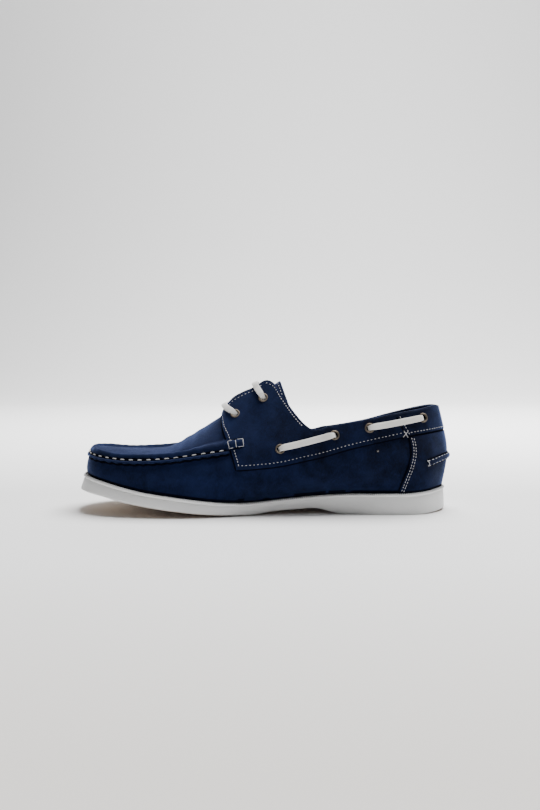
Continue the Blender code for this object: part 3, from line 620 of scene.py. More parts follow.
def finish_piece(piece, slot, finish, *nodes, angle=40.0):
    """Shades a piece, gives it its finish if it has none, and puts it in place of its nodes."""
    pick(piece)
    bpy.ops.object.shade_smooth_by_angle(angle=math.radians(angle))
    if finish:
        piece.data.materials.clear()
        piece.data.materials.append(finish)
    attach(piece, "root")
    if nodes:
        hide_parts(*nodes)
    deselect()
    return piece


# ---- The upper's skin, from which every leather piece is taken ----

# Rows of points up the wall to the shoulder, and from there to the crown or the free edge.
WALL_ROWS = 20
CAP_ROWS = 20

# Where the plug ends at the throat, and the top and the rear foot of the eyestay's flap.
THROAT = -35.0
FLAP_PEAK = 2.5
FLAP_FOOT = 35.6

# Stations round the shoe: each stop's distance along it, and how many steps lead up to that stop.
STATIONS = ((THROAT, 130), (FLAP_PEAK, 34), (FLAP_FOOT, 28), (TOP_EDGE[-1].along, 92))

# The shoulder is a sharp edge up to the first of these distances and fades out by the second.
SHOULDER_FADE = (-46.0, -12.0)

# Distance between the points of the moccasin seam's line.
SEAM_STEP = 0.7

# Creases across the plug where the foot bends: place along, depth and width.
BEND_CREASES = ((-66.0, 0.32, 3.2), (-55.0, 0.45, 3.6), (-43.5, 0.3, 3.0))

# Gathers beside the seam: how deep they are above it and below it, and how far they reach.
GATHERS_ABOVE = 0.12
GATHERS_BELOW = 0.08
GATHERS_REACH = 6.0

# Slow waves and finer ripples of the worn leather: their height, and how close together they come.
WAVE_HEIGHT = 0.5
WAVE_SCALE = 0.035
WAVE_START = Vector((3.1, 0.4, 7.7))
RIPPLE_HEIGHT = 0.16
RIPPLE_SCALE = (0.11, 0.05, 0.045)

# How many of the skin's points are measured against the seam at a time.
RELIEF_BATCH = 4000


def station_turns(table, stops):
    """Angles of the stations round a line, in even steps up to each stop in turn."""
    turns = [0.0]
    for stop, steps in stops:
        end = float(turn_of(table, stop))
        turns += list(np.linspace(turns[-1], end, steps + 1)[1:])
    return np.array(turns)


CROWN_TO_HEEL = (Row(SHOULDER[0].along, 0, 0, 0), Row(TOP_EDGE[-1].along, 0, 0, 0))
TURNS = station_turns(CROWN_TO_HEEL, STATIONS)
THROAT_STATION = STATIONS[0][1]
STATION_COUNT = len(TURNS) - 1


def top_points(side):
    """The crown line up to the throat, then the free edge of one side."""
    toe = CROWN_TO_HEEL[0].along
    heel = CROWN_TO_HEEL[1].along
    along = toe + (heel - toe) * (1 - np.cos(TURNS)) / 2
    crown = curve(turn_of(CROWN_TO_HEEL, column(CROWN, "along")), column(CROWN, "height"), TURNS)
    edge_turns = turn_of(CROWN_TO_HEEL, column(TOP_EDGE, "along"))
    edge = curve(edge_turns, column(TOP_EDGE, "height"), TURNS)
    edge -= drop(along, side, TOPLINE_DROP_END, TOPLINE_DROP_FALL)
    reach = curve(edge_turns, column(TOP_EDGE, side), TURNS) * SIDES[side]
    opening = smooth_step((along - THROAT) / 4.5)
    opening[THROAT_STATION] = 0.0
    is_open = np.arange(len(TURNS)) > THROAT_STATION
    return np.stack((along, np.where(is_open, reach * opening, 0.0), np.where(is_open, edge, crown)), axis=1)


def feather_ring():
    """Where the upper meets the sole: the sole's top edge brought in by the welt's margin."""
    top = ring(line_round(SOLE_TOP, TURNS, "medial"), line_round(SOLE_TOP, TURNS, "lateral"))
    feather = push_out(top, -WELT_MARGIN)
    feather[:, 2] = sole_top_height(feather[:, 0]) + GAP
    return feather


@cache
def section_rows(side):
    """Rows of points up one side, from the feather line over the shoulder to the crown or the free edge."""
    feather = feather_ring()
    if side == "medial":
        feather = feather[:STATION_COUNT + 1]
    else:
        feather = np.concatenate((feather[:1], feather[:STATION_COUNT - 1:-1]))
    belly = line_round(BELLY, TURNS, side)
    shoulder = line_round(SHOULDER, TURNS, side)
    top = top_points(side)
    crease = np.interp(shoulder[:, 0], SHOULDER_FADE, (1.0, 0.0))[:, None]
    through = (top - belly) * 0.5
    leave = (belly - feather) * np.array((1.5, 1.5, 1.0))
    middle = (shoulder - feather) * np.array((0.0, 0.0, 0.5)) + (shoulder - belly) * 0.1
    sharp = (shoulder - belly) * np.array((1.7, 1.7, 0.8))
    rows = []
    for number in range(WALL_ROWS + 1):
        share = number / WALL_ROWS * 2
        if share <= 1:
            rows.append(hermite(feather, leave, belly, middle, share))
        else:
            arrive = sharp * crease + through * (1 - crease)
            rows.append(hermite(belly, middle, shoulder, arrive, share - 1))
    span = top - shoulder
    lift = np.maximum(span[:, 2], 5.0)[:, None] * np.array((0.0, 0.0, 1.25))
    leave = (span * np.array((0.3, 0.3, 0.0)) + lift) * crease + through * (1 - crease)
    opened = smooth_step((top[:, 0] - THROAT) / 7.4)[:, None]
    arrive = span * np.array((1.3, 1.3, 0.0)) * (1 - opened) + span * np.array((1.0, 1.0, 0.85)) * opened
    for number in range(1, CAP_ROWS + 1):
        rows.append(hermite(shoulder, leave, top, arrive, number / CAP_ROWS))
    return np.array(rows)


def seam_line(last_along):
    """The moccasin seam from its medial end round the toe to its lateral end, with distances from the toe."""
    medial = section_rows("medial")[WALL_ROWS]
    lateral = section_rows("lateral")[WALL_ROWS]
    medial = medial[medial[:, 0] <= last_along]
    lateral = lateral[lateral[:, 0] <= last_along]
    line = np.concatenate((medial[::-1], lateral[1:]))
    reach = lengths_along(line)
    reach -= reach[len(medial) - 1]
    first = math.ceil(reach[0] / SEAM_STEP)
    last = math.floor(reach[-1] / SEAM_STEP)
    even = np.arange(first, last + 1) * SEAM_STEP
    return read_at(even, reach, line), even


def relief(points):
    """How far the leather stands out of the last: gathers beside the seam, soft waves and a few creases."""
    seam, reach = seam_line(THROAT + 8.0)
    pitch = bpy.context.scene.loafer.seam_pitch / MM
    out = np.zeros(len(points))
    for first in range(0, len(points), RELIEF_BATCH):
        part = points[first:first + RELIEF_BATCH]
        gap = np.linalg.norm(part[:, None, :] - seam[None, :, :], axis=2)
        nearest = gap.argmin(axis=1)
        distance = gap.min(axis=1)
        above = part[:, 2] > seam[nearest, 2] - 0.5
        gathers = np.cos(2 * math.pi * reach[nearest] / pitch) * np.exp(-((distance / GATHERS_REACH) ** 1.4))
        fade = smooth_step((THROAT - part[:, 0]) / 6.0 + 1)
        out[first:first + RELIEF_BATCH] = np.where(above, -GATHERS_ABOVE, -GATHERS_BELOW) * gathers * fade
    for index, point in enumerate(points):
        wave = noise.noise(Vector(point) * WAVE_SCALE + WAVE_START)
        ripple = noise.noise(Vector(point * RIPPLE_SCALE))
        out[index] += wave * WAVE_HEIGHT + ripple * RIPPLE_HEIGHT
    across = points[:, 0] + 0.35 * (points[:, 2] - 50.0)
    sideways = np.abs(points[:, 1]) / 45.0
    for place, depth, width in BEND_CREASES:
        bent = across - place + 6.0 * sideways**2
        out -= depth * np.exp(-((bent / width) ** 2)) * smooth_step((points[:, 2] - 38.0) / 12.0)
    return out


@cache
def skin_points():
    """The skin's welded points with the relief in them, and their normals and faces."""
    medial = section_rows("medial")
    lateral = section_rows("lateral")
    places = np.concatenate((medial, lateral[:, -2::-1]), axis=1)
    piece = sheet("skin", places)
    weld(piece)
    points, normals = get_points(piece)
    put_points(piece, points + normals * relief(points)[:, None])
    points, normals = get_points(piece)
    faces = [tuple(face.vertices) for face in piece.data.polygons]
    bpy.data.objects.remove(piece, do_unlink=True)
    return points, normals, faces


@cache
def skin_tree():
    """The skin, ready for rays to be cast at it."""
    points, _, faces = skin_points()
    return BVHTree.FromPolygons([Vector(p) for p in points], faces)


def hit_skin(start, direction):
    """Where a ray meets the skin, and the skin's outward normal there."""
    hit, normal, _, _ = skin_tree().ray_cast(Vector(start), Vector(direction))
    if hit is None:
        raise RuntimeError(f"no leather at {tuple(start)} along {tuple(direction)}")
    if normal.dot(Vector(direction)) > 0:
        normal = -normal
    return np.array(hit), np.array(normal)


def seat(along, height, side):
    """Place on the skin seen from one side."""
    return hit_skin((along, SIDES[side] * 100.0, height), (0.0, -SIDES[side], 0.0))


def seat_behind(angle, height, axis_along=108.0):
    """Place on the skin seen from behind the heel, at an angle from straight behind."""
    direction = np.array((math.cos(angle), math.sin(angle), 0.0))
    return hit_skin(np.array((axis_along, 0.0, height)) + direction * 100.0, -direction)


def leather(name, lift):
    """The whole skin as a piece, moved out by a lift."""
    points, normals, faces = skin_points()
    flat = normals.copy()
    lowest = points[:, 2] < sole_top_height(points[:, 0]) + GAP + 0.6
    flat[lowest] *= (1.0, 1.0, 0.0)
    return new_piece(name, points + unit_rows(flat) * lift, faces)


def give_nubuck(piece):
    """Gives a piece nubuck, and as its second finish the dark edge finish, partly edge dye and partly painted
    shade.
    """
    piece.data.materials.append(finish_of("nubuck"))
    piece.data.materials.append(finish_of("edge dye and painted shade"))


def thicken(piece, thickness, edge):
    """Gives a sheet of nubuck its thickness inwards, and softened cut edges in the dark edge finish: partly
    edge dye, partly painted shade.
    """
    give_nubuck(piece)
    apply_modifier(
        piece, "SOLIDIFY", thickness=thickness * MM, offset=-1.0, use_rim=True, material_offset_rim=1,
    )
    apply_modifier(
        piece, "BEVEL", width=edge * MM, segments=2, material=1,
        limit_method="ANGLE", angle_limit=math.radians(55.0),
    )


def paint_foot_shade(piece, rise):
    """Paints shade on a thickened piece up to a rise above the sole's edge, with the points near that line
    set on it.
    """
    points, _ = get_points(piece)
    line = sole_top_height(points[:, 0]) + rise
    near = np.abs(points[:, 2] - line) < PAINTED_SHADE_SNAP
    points[near, 2] = line[near]
    put_points(piece, points)
    for face in piece.data.polygons:
        middle = points[list(face.vertices)].mean(axis=0)
        if middle[2] < sole_top_height(middle[0]) + rise:
            face.material_index = 1


def paint_shade_rows(piece, rows, row_length):
    """Gives a sheet nubuck, and the dark edge finish as painted shade on some of its rows of faces."""
    give_nubuck(piece)
    for face in piece.data.polygons:
        face.material_index = int(face.index // row_length in rows)


def outline_distance(places, outline):
    """Distance in side view from a closed outline, negative inside it, and the nearest place on it."""
    starts = np.array([tuple(p) for p in outline], float)
    ends = np.roll(starts, -1, axis=0)
    best = np.full(len(places), np.inf)
    nearest = np.zeros_like(places)
    inside = np.zeros(len(places), bool)
    for start, end in zip(starts, ends):
        edge = end - start
        if not edge.any():
            continue
        share = np.clip((places - start) @ edge / (edge @ edge), 0.0, 1.0)
        foot = start + share[:, None] * edge
        gap = np.linalg.norm(places - foot, axis=1)
        closer = gap < best
        best[closer] = gap[closer]
        nearest[closer] = foot[closer]
        if start[1] != end[1]:
            crossing = start[0] + (places[:, 1] - start[1]) * edge[0] / edge[1]
            inside ^= ((start[1] > places[:, 1]) != (end[1] > places[:, 1])) & (places[:, 0] < crossing)
    return np.where(inside, -best, best), nearest


def keep_inside(piece, outline, side=None):
    """Deletes a sheet's faces outside a side-view outline and draws the cut edge onto the outline."""
    points, normals = get_points(piece)
    distance, _ = outline_distance(points[:, [0, 2]], outline)
    wrong_side = points[:, 1] * SIDES[side] < 0.5 if side else np.zeros(len(points), bool)
    doomed = set()
    for face in piece.data.polygons:
        corners = list(face.vertices)
        if distance[corners].mean() > 0 or wrong_side[corners].any():
            doomed.add(face.index)
    kept_points = set()
    cut_points = set()
    for face in piece.data.polygons:
        (cut_points if face.index in doomed else kept_points).update(face.vertices)
    edge = sorted(kept_points & cut_points)
    for _ in range(3):
        gap, nearest = outline_distance(points[edge][:, [0, 2]], outline)
        move = np.zeros((len(edge), 3))
        move[:, [0, 2]] = nearest - points[edge][:, [0, 2]]
        move -= normals[edge] * np.sum(move * normals[edge], axis=1)[:, None]
        move[np.abs(gap) > 3.0] = 0.0
        points[edge] += move
    put_points(piece, points)
    delete_faces(piece, doomed)


def delete_faces(piece, numbers):
    """Deletes a piece's faces by their numbers."""
    pick(piece)
    for polygon in piece.data.polygons:
        polygon.select = polygon.index in numbers
    for edge in piece.data.edges:
        edge.select = False
    for vertex in piece.data.vertices:
        vertex.select = False
    bpy.context.tool_settings.mesh_select_mode = (False, False, True)
    bpy.ops.object.mode_set(mode="EDIT")
    bpy.ops.mesh.delete(type="FACE")
    leave_edit()


def punch(piece, centres):
    """Deletes a sheet's faces round each eyelet's centre."""
    points, _ = get_points(piece)
    doomed = set()
    for face in piece.data.polygons:
        middle = points[list(face.vertices)].mean(axis=0)
        if any(np.linalg.norm(middle - centre) < EYELET_HOLE_RADIUS for centre in centres):
            doomed.add(face.index)
    delete_faces(piece, doomed)


def eyelet_seats(names, sides=("medial", "lateral")):
    """Places and normals of the named eyelets' centres on the skin."""
    return [seat(*lowered([EYELETS[name]], side)[0], side) for side in sides for name in names]


# ---- The sole ----

# Steps down one side: for finding the shoe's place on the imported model, and for the moulding itself.
SHIFT_STEPS = 120
SOLE_STEPS = 330

# How far inside its edge the ring lies that closes the moulding's top, and how high the foot is rounded.
SOLE_TOP_MARGIN = 3.2
FOOT_ROUND = 1.4

# Rows down the moulding's wall, round its foot and in over its tread, as shares and as angles in degrees.
WALL_SHARES = (0.0, 0.05, 0.12, 0.3, 0.5, 0.7, 0.85, 0.95)
FOOT_SWINGS = (18.0, 40.0, 62.0)
TREAD_SHARES = (0.9, 0.66, 0.33, 0.0)

# Faces whose normal's height is below this are tread.
TREAD_FACES_DOWN = -0.93

# Section of the milled lip: how far out and up from the sole's edge, and a tooth's push and share of height.
MILLED_SECTION = (
    (-1.6, -0.5, 0.0, 0.0),
    (-1.5, 0.1, 0.0, 0.6),
    (-1.1, 0.3, 0.0, 1.0),
    (-0.6, 0.25, 0.1, 1.0),
    (0.1, -0.15, 0.3, 0.8),
    (0.45, -0.5, 0.3, 0.2),
    (0.4, -0.9, 0.0, 0.0),
    (-0.2, -1.15, 0.0, 0.0),
    (-1.0, -1.1, 0.0, 0.0),
)

# The insole's section, from its middle underneath to its top's edge: share of its width, and height.
INSOLE_SECTION = (
    (0.0, 0.0), (0.5, 0.0), (0.97, 0.0), (1.0, 0.5), (1.0, 2.2), (0.985, 2.75), (0.95, 2.7), (0.86, 2.5),
)
INSOLE_TOP = 2.5
INSOLE_SHARES = (0.7, 0.5, 0.3, 0.15, 0.0)
INSOLE_HOLLOW = 0.45


@cache
def sole_rings(steps):
    """Closed rings round the sole, from its top edge to its tread."""
    turns = np.linspace(0.0, math.pi, steps + 1)
    top = ring(line_round(SOLE_TOP, turns, "medial"), line_round(SOLE_TOP, turns, "lateral"))
    closed = np.concatenate((top, top[:1]))
    reach = lengths_along(closed)
    even = np.linspace(0.0, reach[-1], 2 * steps + 1)[:-1]
    top = read_at(even, reach, closed)
    top[:, 2] = sole_top_height(top[:, 0])
    stations = column(UNDERSIDE, "along")
    flare = curve(stations, column(UNDERSIDE, "flare"), top[:, 0])
    tuck = curve(stations, column(UNDERSIDE, "tuck"), top[:, 0])
    edge = curve(stations, column(UNDERSIDE, "edge"), top[:, 0])
    foot = push_out(top, flare)
    tread = push_out(top, flare - tuck)
    tread[:, 2] = underside_height(tread[:, 0])
    foot[:, 2] = underside_height(top[:, 0]) + edge
    return {"top": top, "foot": foot, "tread": tread}


def drawn_in(points, share):
    """A ring drawn towards the line down its middle, all the way when the share is nothing."""
    half = len(points) // 2
    first = points[:half + 1]
    second = np.concatenate((points[half:], points[:1]))[::-1]
    order = np.argsort(second[:, 0])
    opposite = np.interp(first[:, 0], second[order, 0], second[order, 1])
    middle = np.empty(len(points))
    middle[:half + 1] = (first[:, 1] + opposite) / 2
    middle[half:] = np.interp(points[half:, 0], first[:, 0], middle[:half + 1].copy())
    moved = points.copy()
    moved[:, 1] = middle + (points[:, 1] - middle) * share
    return moved


def make_outsole():
    """The unit sole as one closed skin, row by row: its top, lip, side, rounded foot and tread."""
    rings = sole_rings(SOLE_STEPS)
    top, foot, tread = rings["top"], rings["foot"], rings["tread"]
    flat = push_out(top, -SOLE_TOP_MARGIN)
    rows = [drawn_in(flat, 0.0), drawn_in(flat, 0.5), flat]
    rows.append(push_out(top, -LIP_ROUND))
    rows.append(top - (0.0, 0.0, LIP_ROUND))
    rows.append(top - (0.0, 0.0, SOLE_LIP_HEIGHT - LIP_ROUND))
    rows.append(push_out(top, -0.25) - (0.0, 0.0, SOLE_LIP_HEIGHT))
    under_lip = push_out(top, -SOLE_LIP_STEP) - (0.0, 0.0, SOLE_LIP_HEIGHT + 0.5)
    edge = foot - (0.0, 0.0, FOOT_ROUND)
    for share in WALL_SHARES:
        wall = under_lip * (1 - share) + edge * share
        rows.append(push_out(wall, 0.2 * math.sin(math.pi * share) + 0.3 * min(share / 0.1, 1.0)))
    rows.append(push_out(edge, 0.25))
    for angle in FOOT_SWINGS:
        swing = math.radians(angle)
        place = edge + (tread - edge) * 0.45 * (1 - math.cos(swing))
        place[:, 2] = edge[:, 2] + (tread[:, 2] - edge[:, 2]) * 0.75 * math.sin(swing)
        rows.append(push_out(place, 0.2 * math.cos(swing)))
    rows.append(tread)
    for share in TREAD_SHARES:
        row = drawn_in(tread, share)
        row[:, 2] = underside_height(row[:, 0])
        rows.append(row)
    places = np.array(rows[::-1])
    places[:, :, 2] = np.maximum(places[:, :, 2], 0.0)
    piece = closed_sheet("outsole_moulding", places)
    finish_piece(piece, "outsole_rubber", finish_of("rubber"), "outsole", angle=42.0)
    piece.data.materials.append(tread_finish())
    for face in piece.data.polygons:
        if face.normal.z < TREAD_FACES_DOWN:
            face.material_index = 1


def make_milled_lip():
    """The milled edge on top of the sole: a tooth every pitch all the way round."""
    sizes = bpy.context.scene.loafer
    coarse = sole_rings(SOLE_STEPS)["top"]
    closed = np.concatenate((coarse, coarse[:1]))
    reach = lengths_along(closed)
    teeth = round(reach[-1] / (sizes.tooth_pitch / MM))
    even = np.linspace(0.0, reach[-1], 4 * teeth + 1)[:-1]
    top = read_at(even, reach, closed)
    tooth = np.tile((0.0, 1.0, 1.0, 0.0), teeth)
    high = sizes.tooth_height / MM
    rows = []
    for out, up, tooth_out, tooth_up in MILLED_SECTION + MILLED_SECTION[:1]:
        row = push_out(top, out + tooth_out * tooth)
        row[:, 2] = top[:, 2] + up + high * tooth_up * tooth
        rows.append(row)
    piece = closed_sheet("milled_lip", rows[::-1])
    finish_piece(piece, "outsole_rubber", finish_of("milled rubber"), angle=35.0)


def make_insole():
    """The padded sock on the sole, its edge a little raised and its middle a little hollow."""
    edge = push_out(feather_ring(), -(WALL + GAP + 0.3))
    edge[:, 2] = sole_top_height(edge[:, 0]) + GAP
    rows = [drawn_in(edge, share) + (0.0, 0.0, up) for share, up in INSOLE_SECTION]
    for share in INSOLE_SHARES:
        hollow = INSOLE_HOLLOW * math.cos(share * math.pi / 2)
        rows.append(drawn_in(edge, share) + (0.0, 0.0, INSOLE_TOP - hollow))
    piece = closed_sheet("sock_liner", rows)
    finish_piece(piece, "insole_leather", finish_of("insole"), "insole")


# ---- The upper, its lining and its overlays ----

UPPER_THICKNESS = 1.15
UPPER_CUT_EDGE = 0.35
LINING_LIFT = -1.2
LINING_THICKNESS = 0.6
LINING_CUT_EDGE = 0.2
OVERLAY_CUT_EDGE = 0.45
TONGUE_CUT_EDGE = 0.8

# The binding starts behind the flap's peak and points away from the middle of the collar.
BINDING_START = FLAP_PEAK + 3.0
BINDING_STEPS = 420
COLLAR_MIDDLE = np.array((60.0, 0.0))


def make_upper():
    """The vamp, plug and quarters in one leather, with the lining inside them."""
    holes = [place for place, _ in eyelet_seats(("throat_low", "throat_high"))]
    outer = leather("vamp_and_quarters", 0.0)
    punch(outer, holes)
    thicken(outer, UPPER_THICKNESS, UPPER_CUT_EDGE)
    paint_foot_shade(outer, UPPER_PAINTED_SHADE_RISE)
    finish_piece(outer, "upper_nubuck", None, "upper")
    inner = leather("quarter_lining", LINING_LIFT)
    punch(inner, holes)
    thicken(inner, LINING_THICKNESS, LINING_CUT_EDGE)
    finish_piece(inner, "lining", finish_of("lining"))


def make_binding():
    """The turned edge of the collar, rounded over the lining from flap to flap round the heel."""
    lines = {}
    for side in SIDES:
        edge = section_rows(side)[-1]
        below = section_rows(side)[-3]
        keep = edge[:, 0] >= BINDING_START
        lines[side] = (edge[keep], below[keep])
    places = np.concatenate((lines["medial"][0], lines["lateral"][0][-2::-1]))
    below = np.concatenate((lines["medial"][1], lines["lateral"][1][-2::-1]))
    reach = lengths_along(places)
    even = np.linspace(0.0, reach[-1], BINDING_STEPS)
    places = read_at(even, reach, places)
    below = read_at(even, reach, below)
    ahead = np.gradient(places, axis=0)
    rows = []
    for place, under, forward in zip(places, below, ahead):
        forward = unit(forward)
        down = unit(square_to(under - place, forward))
        out = np.cross(down, forward)
        if out[:2].dot(place[:2] - COLLAR_MIDDLE) < 0:
            out = -out
        full = smooth_step((place[0] - 8.0) / 26.0)
        half = 1.45 + 0.35 * full
        crest = 0.25 + 0.25 * full
        centre = place + out * (OVERLAY_OUTER - half + 0.12) + down * (half - crest)
        row = []
        for angle in np.linspace(0.0, 2 * math.pi, 19):
            rise = math.sin(angle)
            height = half if rise > 0 else half * 1.35
            row.append(centre + out * (math.cos(angle) * half) - down * rise * height)
        rows.append(row)
    piece = sheet("collar_binding", np.array(rows))
    close_ends(piece)
    finish_piece(piece, "overlay_nubuck", finish_of("nubuck"), angle=60.0)


# Heights above the whole shoe and below it, where outlines are closed.
ABOVE_ALL = 130.0
BELOW_ALL = -10.0

# Distance between the points of a cut line in the outlines.
CUT_STEP = 1.5

# The band's foot in front of the collar's seam and behind it.
FRONT_FOOT = [p for p in EYESTAY_FOOT if p.along < COLLAR_SEAM[0].along] + [COLLAR_SEAM[0]]
REAR_FOOT = [COLLAR_SEAM[0]] + [p for p in EYESTAY_FOOT if p.along > COLLAR_SEAM[0].along]


def eyestay_outline(side, spread=0.0):
    """Side-view outline of an eyestay with its flap, with its sewn edges moved outwards by a spread."""
    seam_front = [(p.along - 0.9, p.height) for p in COLLAR_SEAM]
    return [
        (-36.0 - spread, ABOVE_ALL),
        *inset(smooth_line(EYESTAY_FRONT, 1.0), -spread),
        *lowered(inset(smooth_line(FRONT_FOOT, CUT_STEP), -spread)[1:-1], side),
        *smooth_line(seam_front, CUT_STEP),
        (seam_front[-1][0], ABOVE_ALL),
    ]


def collar_outline(spread=0.0):
    """Side-view outline of the back collar, from its seam with the eyestays to behind the heel."""
    seam_rear = [(p.along + 0.4 - spread, p.height) for p in COLLAR_SEAM[::-1]]
    foot = inset(smooth_line(REAR_FOOT, CUT_STEP), -spread)[1:]
    return [(seam_rear[0][0], ABOVE_ALL), *smooth_line(seam_rear, CUT_STEP), *foot, (foot[-1][0], ABOVE_ALL)]


def counter_outline(spread=0.0):
    """Side-view outline of the counter, from under the collar to below the sole's edge."""
    top = [(p[0], p[1] - 1.2) for p in smooth_line(REAR_FOOT, CUT_STEP)]
    front = inset(smooth_line(COUNTER_FRONT, CUT_STEP), -spread)[1:]
    return [*top[::-1], *front, (front[-1][0], BELOW_ALL), (REAR_FOOT[-1].along, BELOW_ALL)]


def make_overlays():
    """Eyestays, back collar and counter, each over a dark sheet of painted shade that shows along its sewn
    edges.
    """
    names = ("throat_low", "throat_high", "side_front", "side_middle", "side_rear")
    top = OVERLAY_OUTER
    plans = [
        ("eyestay_" + side, names, top, eyestay_outline(side), eyestay_outline(side, PAINTED_SHADE_SPREAD), side)
        for side in SIDES
    ]
    plans.append(("collar_back", ("heel",), top, collar_outline(), collar_outline(PAINTED_SHADE_SPREAD), None))
    plans.append(("counter", (), top - 0.15, counter_outline(), counter_outline(PAINTED_SHADE_SPREAD), None))
    for name, eyelets, lift, outline, wider, side in plans:
        holes = [place for place, _ in eyelet_seats(eyelets, (side,) if side else tuple(SIDES))]
        piece = leather(name + "_leather", lift)
        keep_inside(piece, outline, side)
        punch(piece, holes)
        thicken(piece, lift - OVERLAY_INNER, OVERLAY_CUT_EDGE)
        if name == "counter":
            # The counter's foot gets painted shade by the sole too.
            paint_foot_shade(piece, COUNTER_PAINTED_SHADE_RISE)
        finish_piece(piece, "overlay_nubuck", None, name)
        # A dark sheet of painted shade under the overlay, showing as a shadow line along its edges.
        painted_shade_strip = leather(name + "_backing", OVERLAY_INNER + PAINTED_SHADE_LIFT)
        keep_inside(painted_shade_strip, wider, side)
        punch(painted_shade_strip, holes)
        apply_modifier(painted_shade_strip, "SOLIDIFY", thickness=PAINTED_SHADE_THICKNESS * MM, offset=-1.0, use_rim=True)
        finish_piece(painted_shade_strip, "overlay_nubuck", finish_of("edge dye and painted shade"))


def station_point(row, along):
    """Place on a row of the skin at a distance along the shoe."""
    return np.array([np.interp(along, row[:, 0], row[:, axis]) for axis in range(3)])


# How fast the tongue's free end rises towards the foot.
TONGUE_SLOPE = 0.645


def tongue_places():
    """Rows of places over the tongue, from under the plug's rear edge up between the flaps."""
    clear = WALL + GAP + 0.25
    peaks = np.linspace(TONGUE_SECTIONS[0][0], TONGUE_SECTIONS[-1][0], 60)
    leans = curve([row[0] for row in TONGUE_SECTIONS], [row[1] for row in TONGUE_SECTIONS], peaks)
    fine = CAP_ROWS // 5
    sections = []
    for peak_along, lean in zip(peaks, leans):
        halves = []
        for side in SIDES:
            rows = section_rows(side)
            cap = [station_point(rows[WALL_ROWS + number * fine], peak_along + lean) for number in range(4)]
            over = station_point(rows[-1], peak_along)
            inwards = np.array((0.0, -SIDES[side], -0.45)) * clear
            low = cap[1] * 0.3 + cap[2] * 0.7 + inwards * 1.15
            under = np.array((over[0], 0.0, over[2] - clear - 0.4))
            rise = (peak_along - THROAT) * TONGUE_SLOPE - clear + 0.4
            free = np.array((peak_along, 0.0, CROWN[-1].height + rise))
            share = smooth_step((peak_along - THROAT + 3.0) / 6.0)
            peak = under * (1 - share) + free * share
            leave = (cap[2] - cap[1]) * 2.2 * (1 - share) + (cap[3] - cap[1]) * 1.1 * share
            arrive = (peak - low) * np.array((0.0, 1.05, 0.0))
            shares = np.linspace(0.0, 1.0, 21)
            halves.append([hermite(low, leave, peak, arrive, share) for share in shares])
        sections.append(halves[0] + halves[1][-2::-1])
    return np.array(sections)


def make_tongue():
    """The tongue, its faces turned upwards before it is given its thickness downwards."""
    piece = sheet("tongue_leather", tongue_places())
    if np.mean([face.normal.z for face in piece.data.polygons]) < 0:
        edit_all(piece)
        bpy.ops.mesh.flip_normals()
        leave_edit()
    thicken(piece, TONGUE_THICKNESS, TONGUE_CUT_EDGE)
    finish_piece(piece, "upper_nubuck", finish_of("nubuck"), "tongue")


# ---- The moccasin seam ----

# Section of the seam's ruffled roll: how far across the seam and over the skin, and how much it gathers.
Bead = namedtuple("Bead", "across rise gather")
SEAM_BEAD = rows_of(
    Bead,
    (-4.5, 0.1, 0.0), (-3.7, 0.35, 0.0), (-2.7, 0.5, 0.0),
    (-2.8, 1.3, 0.1), (-3.0, 2.1, 0.15), (-2.8, 2.6, 0.15),
    (-2.2, 2.8, 0.15), (-1.6, 2.6, 0.15), (-1.25, 1.8, 0.12),
    (-1.0, 0.9, 0.1), (-0.65, 0.6, 0.05), (-0.2, 0.8, 0.05),
    (0.1, 1.6, 0.1), (0.5, 2.5, 0.12), (1.1, 3.3, 0.1),
    (1.8, 3.75, 0.06), (2.6, 3.45, 0.04), (3.5, 2.3, 0.02),
    (4.3, 1.0, 0.0), (5.4, 0.1, 0.0), (6.4, -0.5, 0.0),
)

# Rows of the roll in the dark edge finish: painted shade under its lip and in the groove round its stitches,
# with its cut edge.
PAINTED_SHADE_ROWS = (0, 1, 2, 8, 9, 10, 11, len(SEAM_BEAD) - 1)

# The first stitch stands this share of a pitch to one side of the toe's middle.
SEAM_START = 0.3

# The roll runs this far past the throat.
SEAM_END = THROAT + 8.5

# How far off the skin a ray starts that looks for a bead's foot.
BEAD_RAY = 25.0


def seam_frames(last_along):
    """The seam's line, its distance from the toe, its run and the way outwards from the shoe in plan."""
    line, reach = seam_line(last_along)
    run = unit_rows(np.gradient(line, axis=0))
    outward = unit_rows(np.stack((run[:, 1], -run[:, 0], np.zeros(len(run))), axis=1))
    if outward[0, 1] > 0:
        outward = -outward
    return line, reach, run, outward


def on_seam_bead(place, outward, across):
    """The skin at a distance across the seam: down the wall when it is less than nothing."""
    if across <= 0:
        start = place + outward * BEAD_RAY + UP * across
        return hit_skin(start, -outward)
    return hit_skin(place - outward * across + UP * BEAD_RAY, -UP)


def plug_side_height(along):
    """How much of its height the roll has on the plug's side: more at the toe and less towards the throat."""
    at_toe = math.exp(-(((along + 131.0) / 9.0) ** 2))
    return 1 - 0.35 * smooth_step((along + 80.0) / 40.0) + 0.3 * at_toe


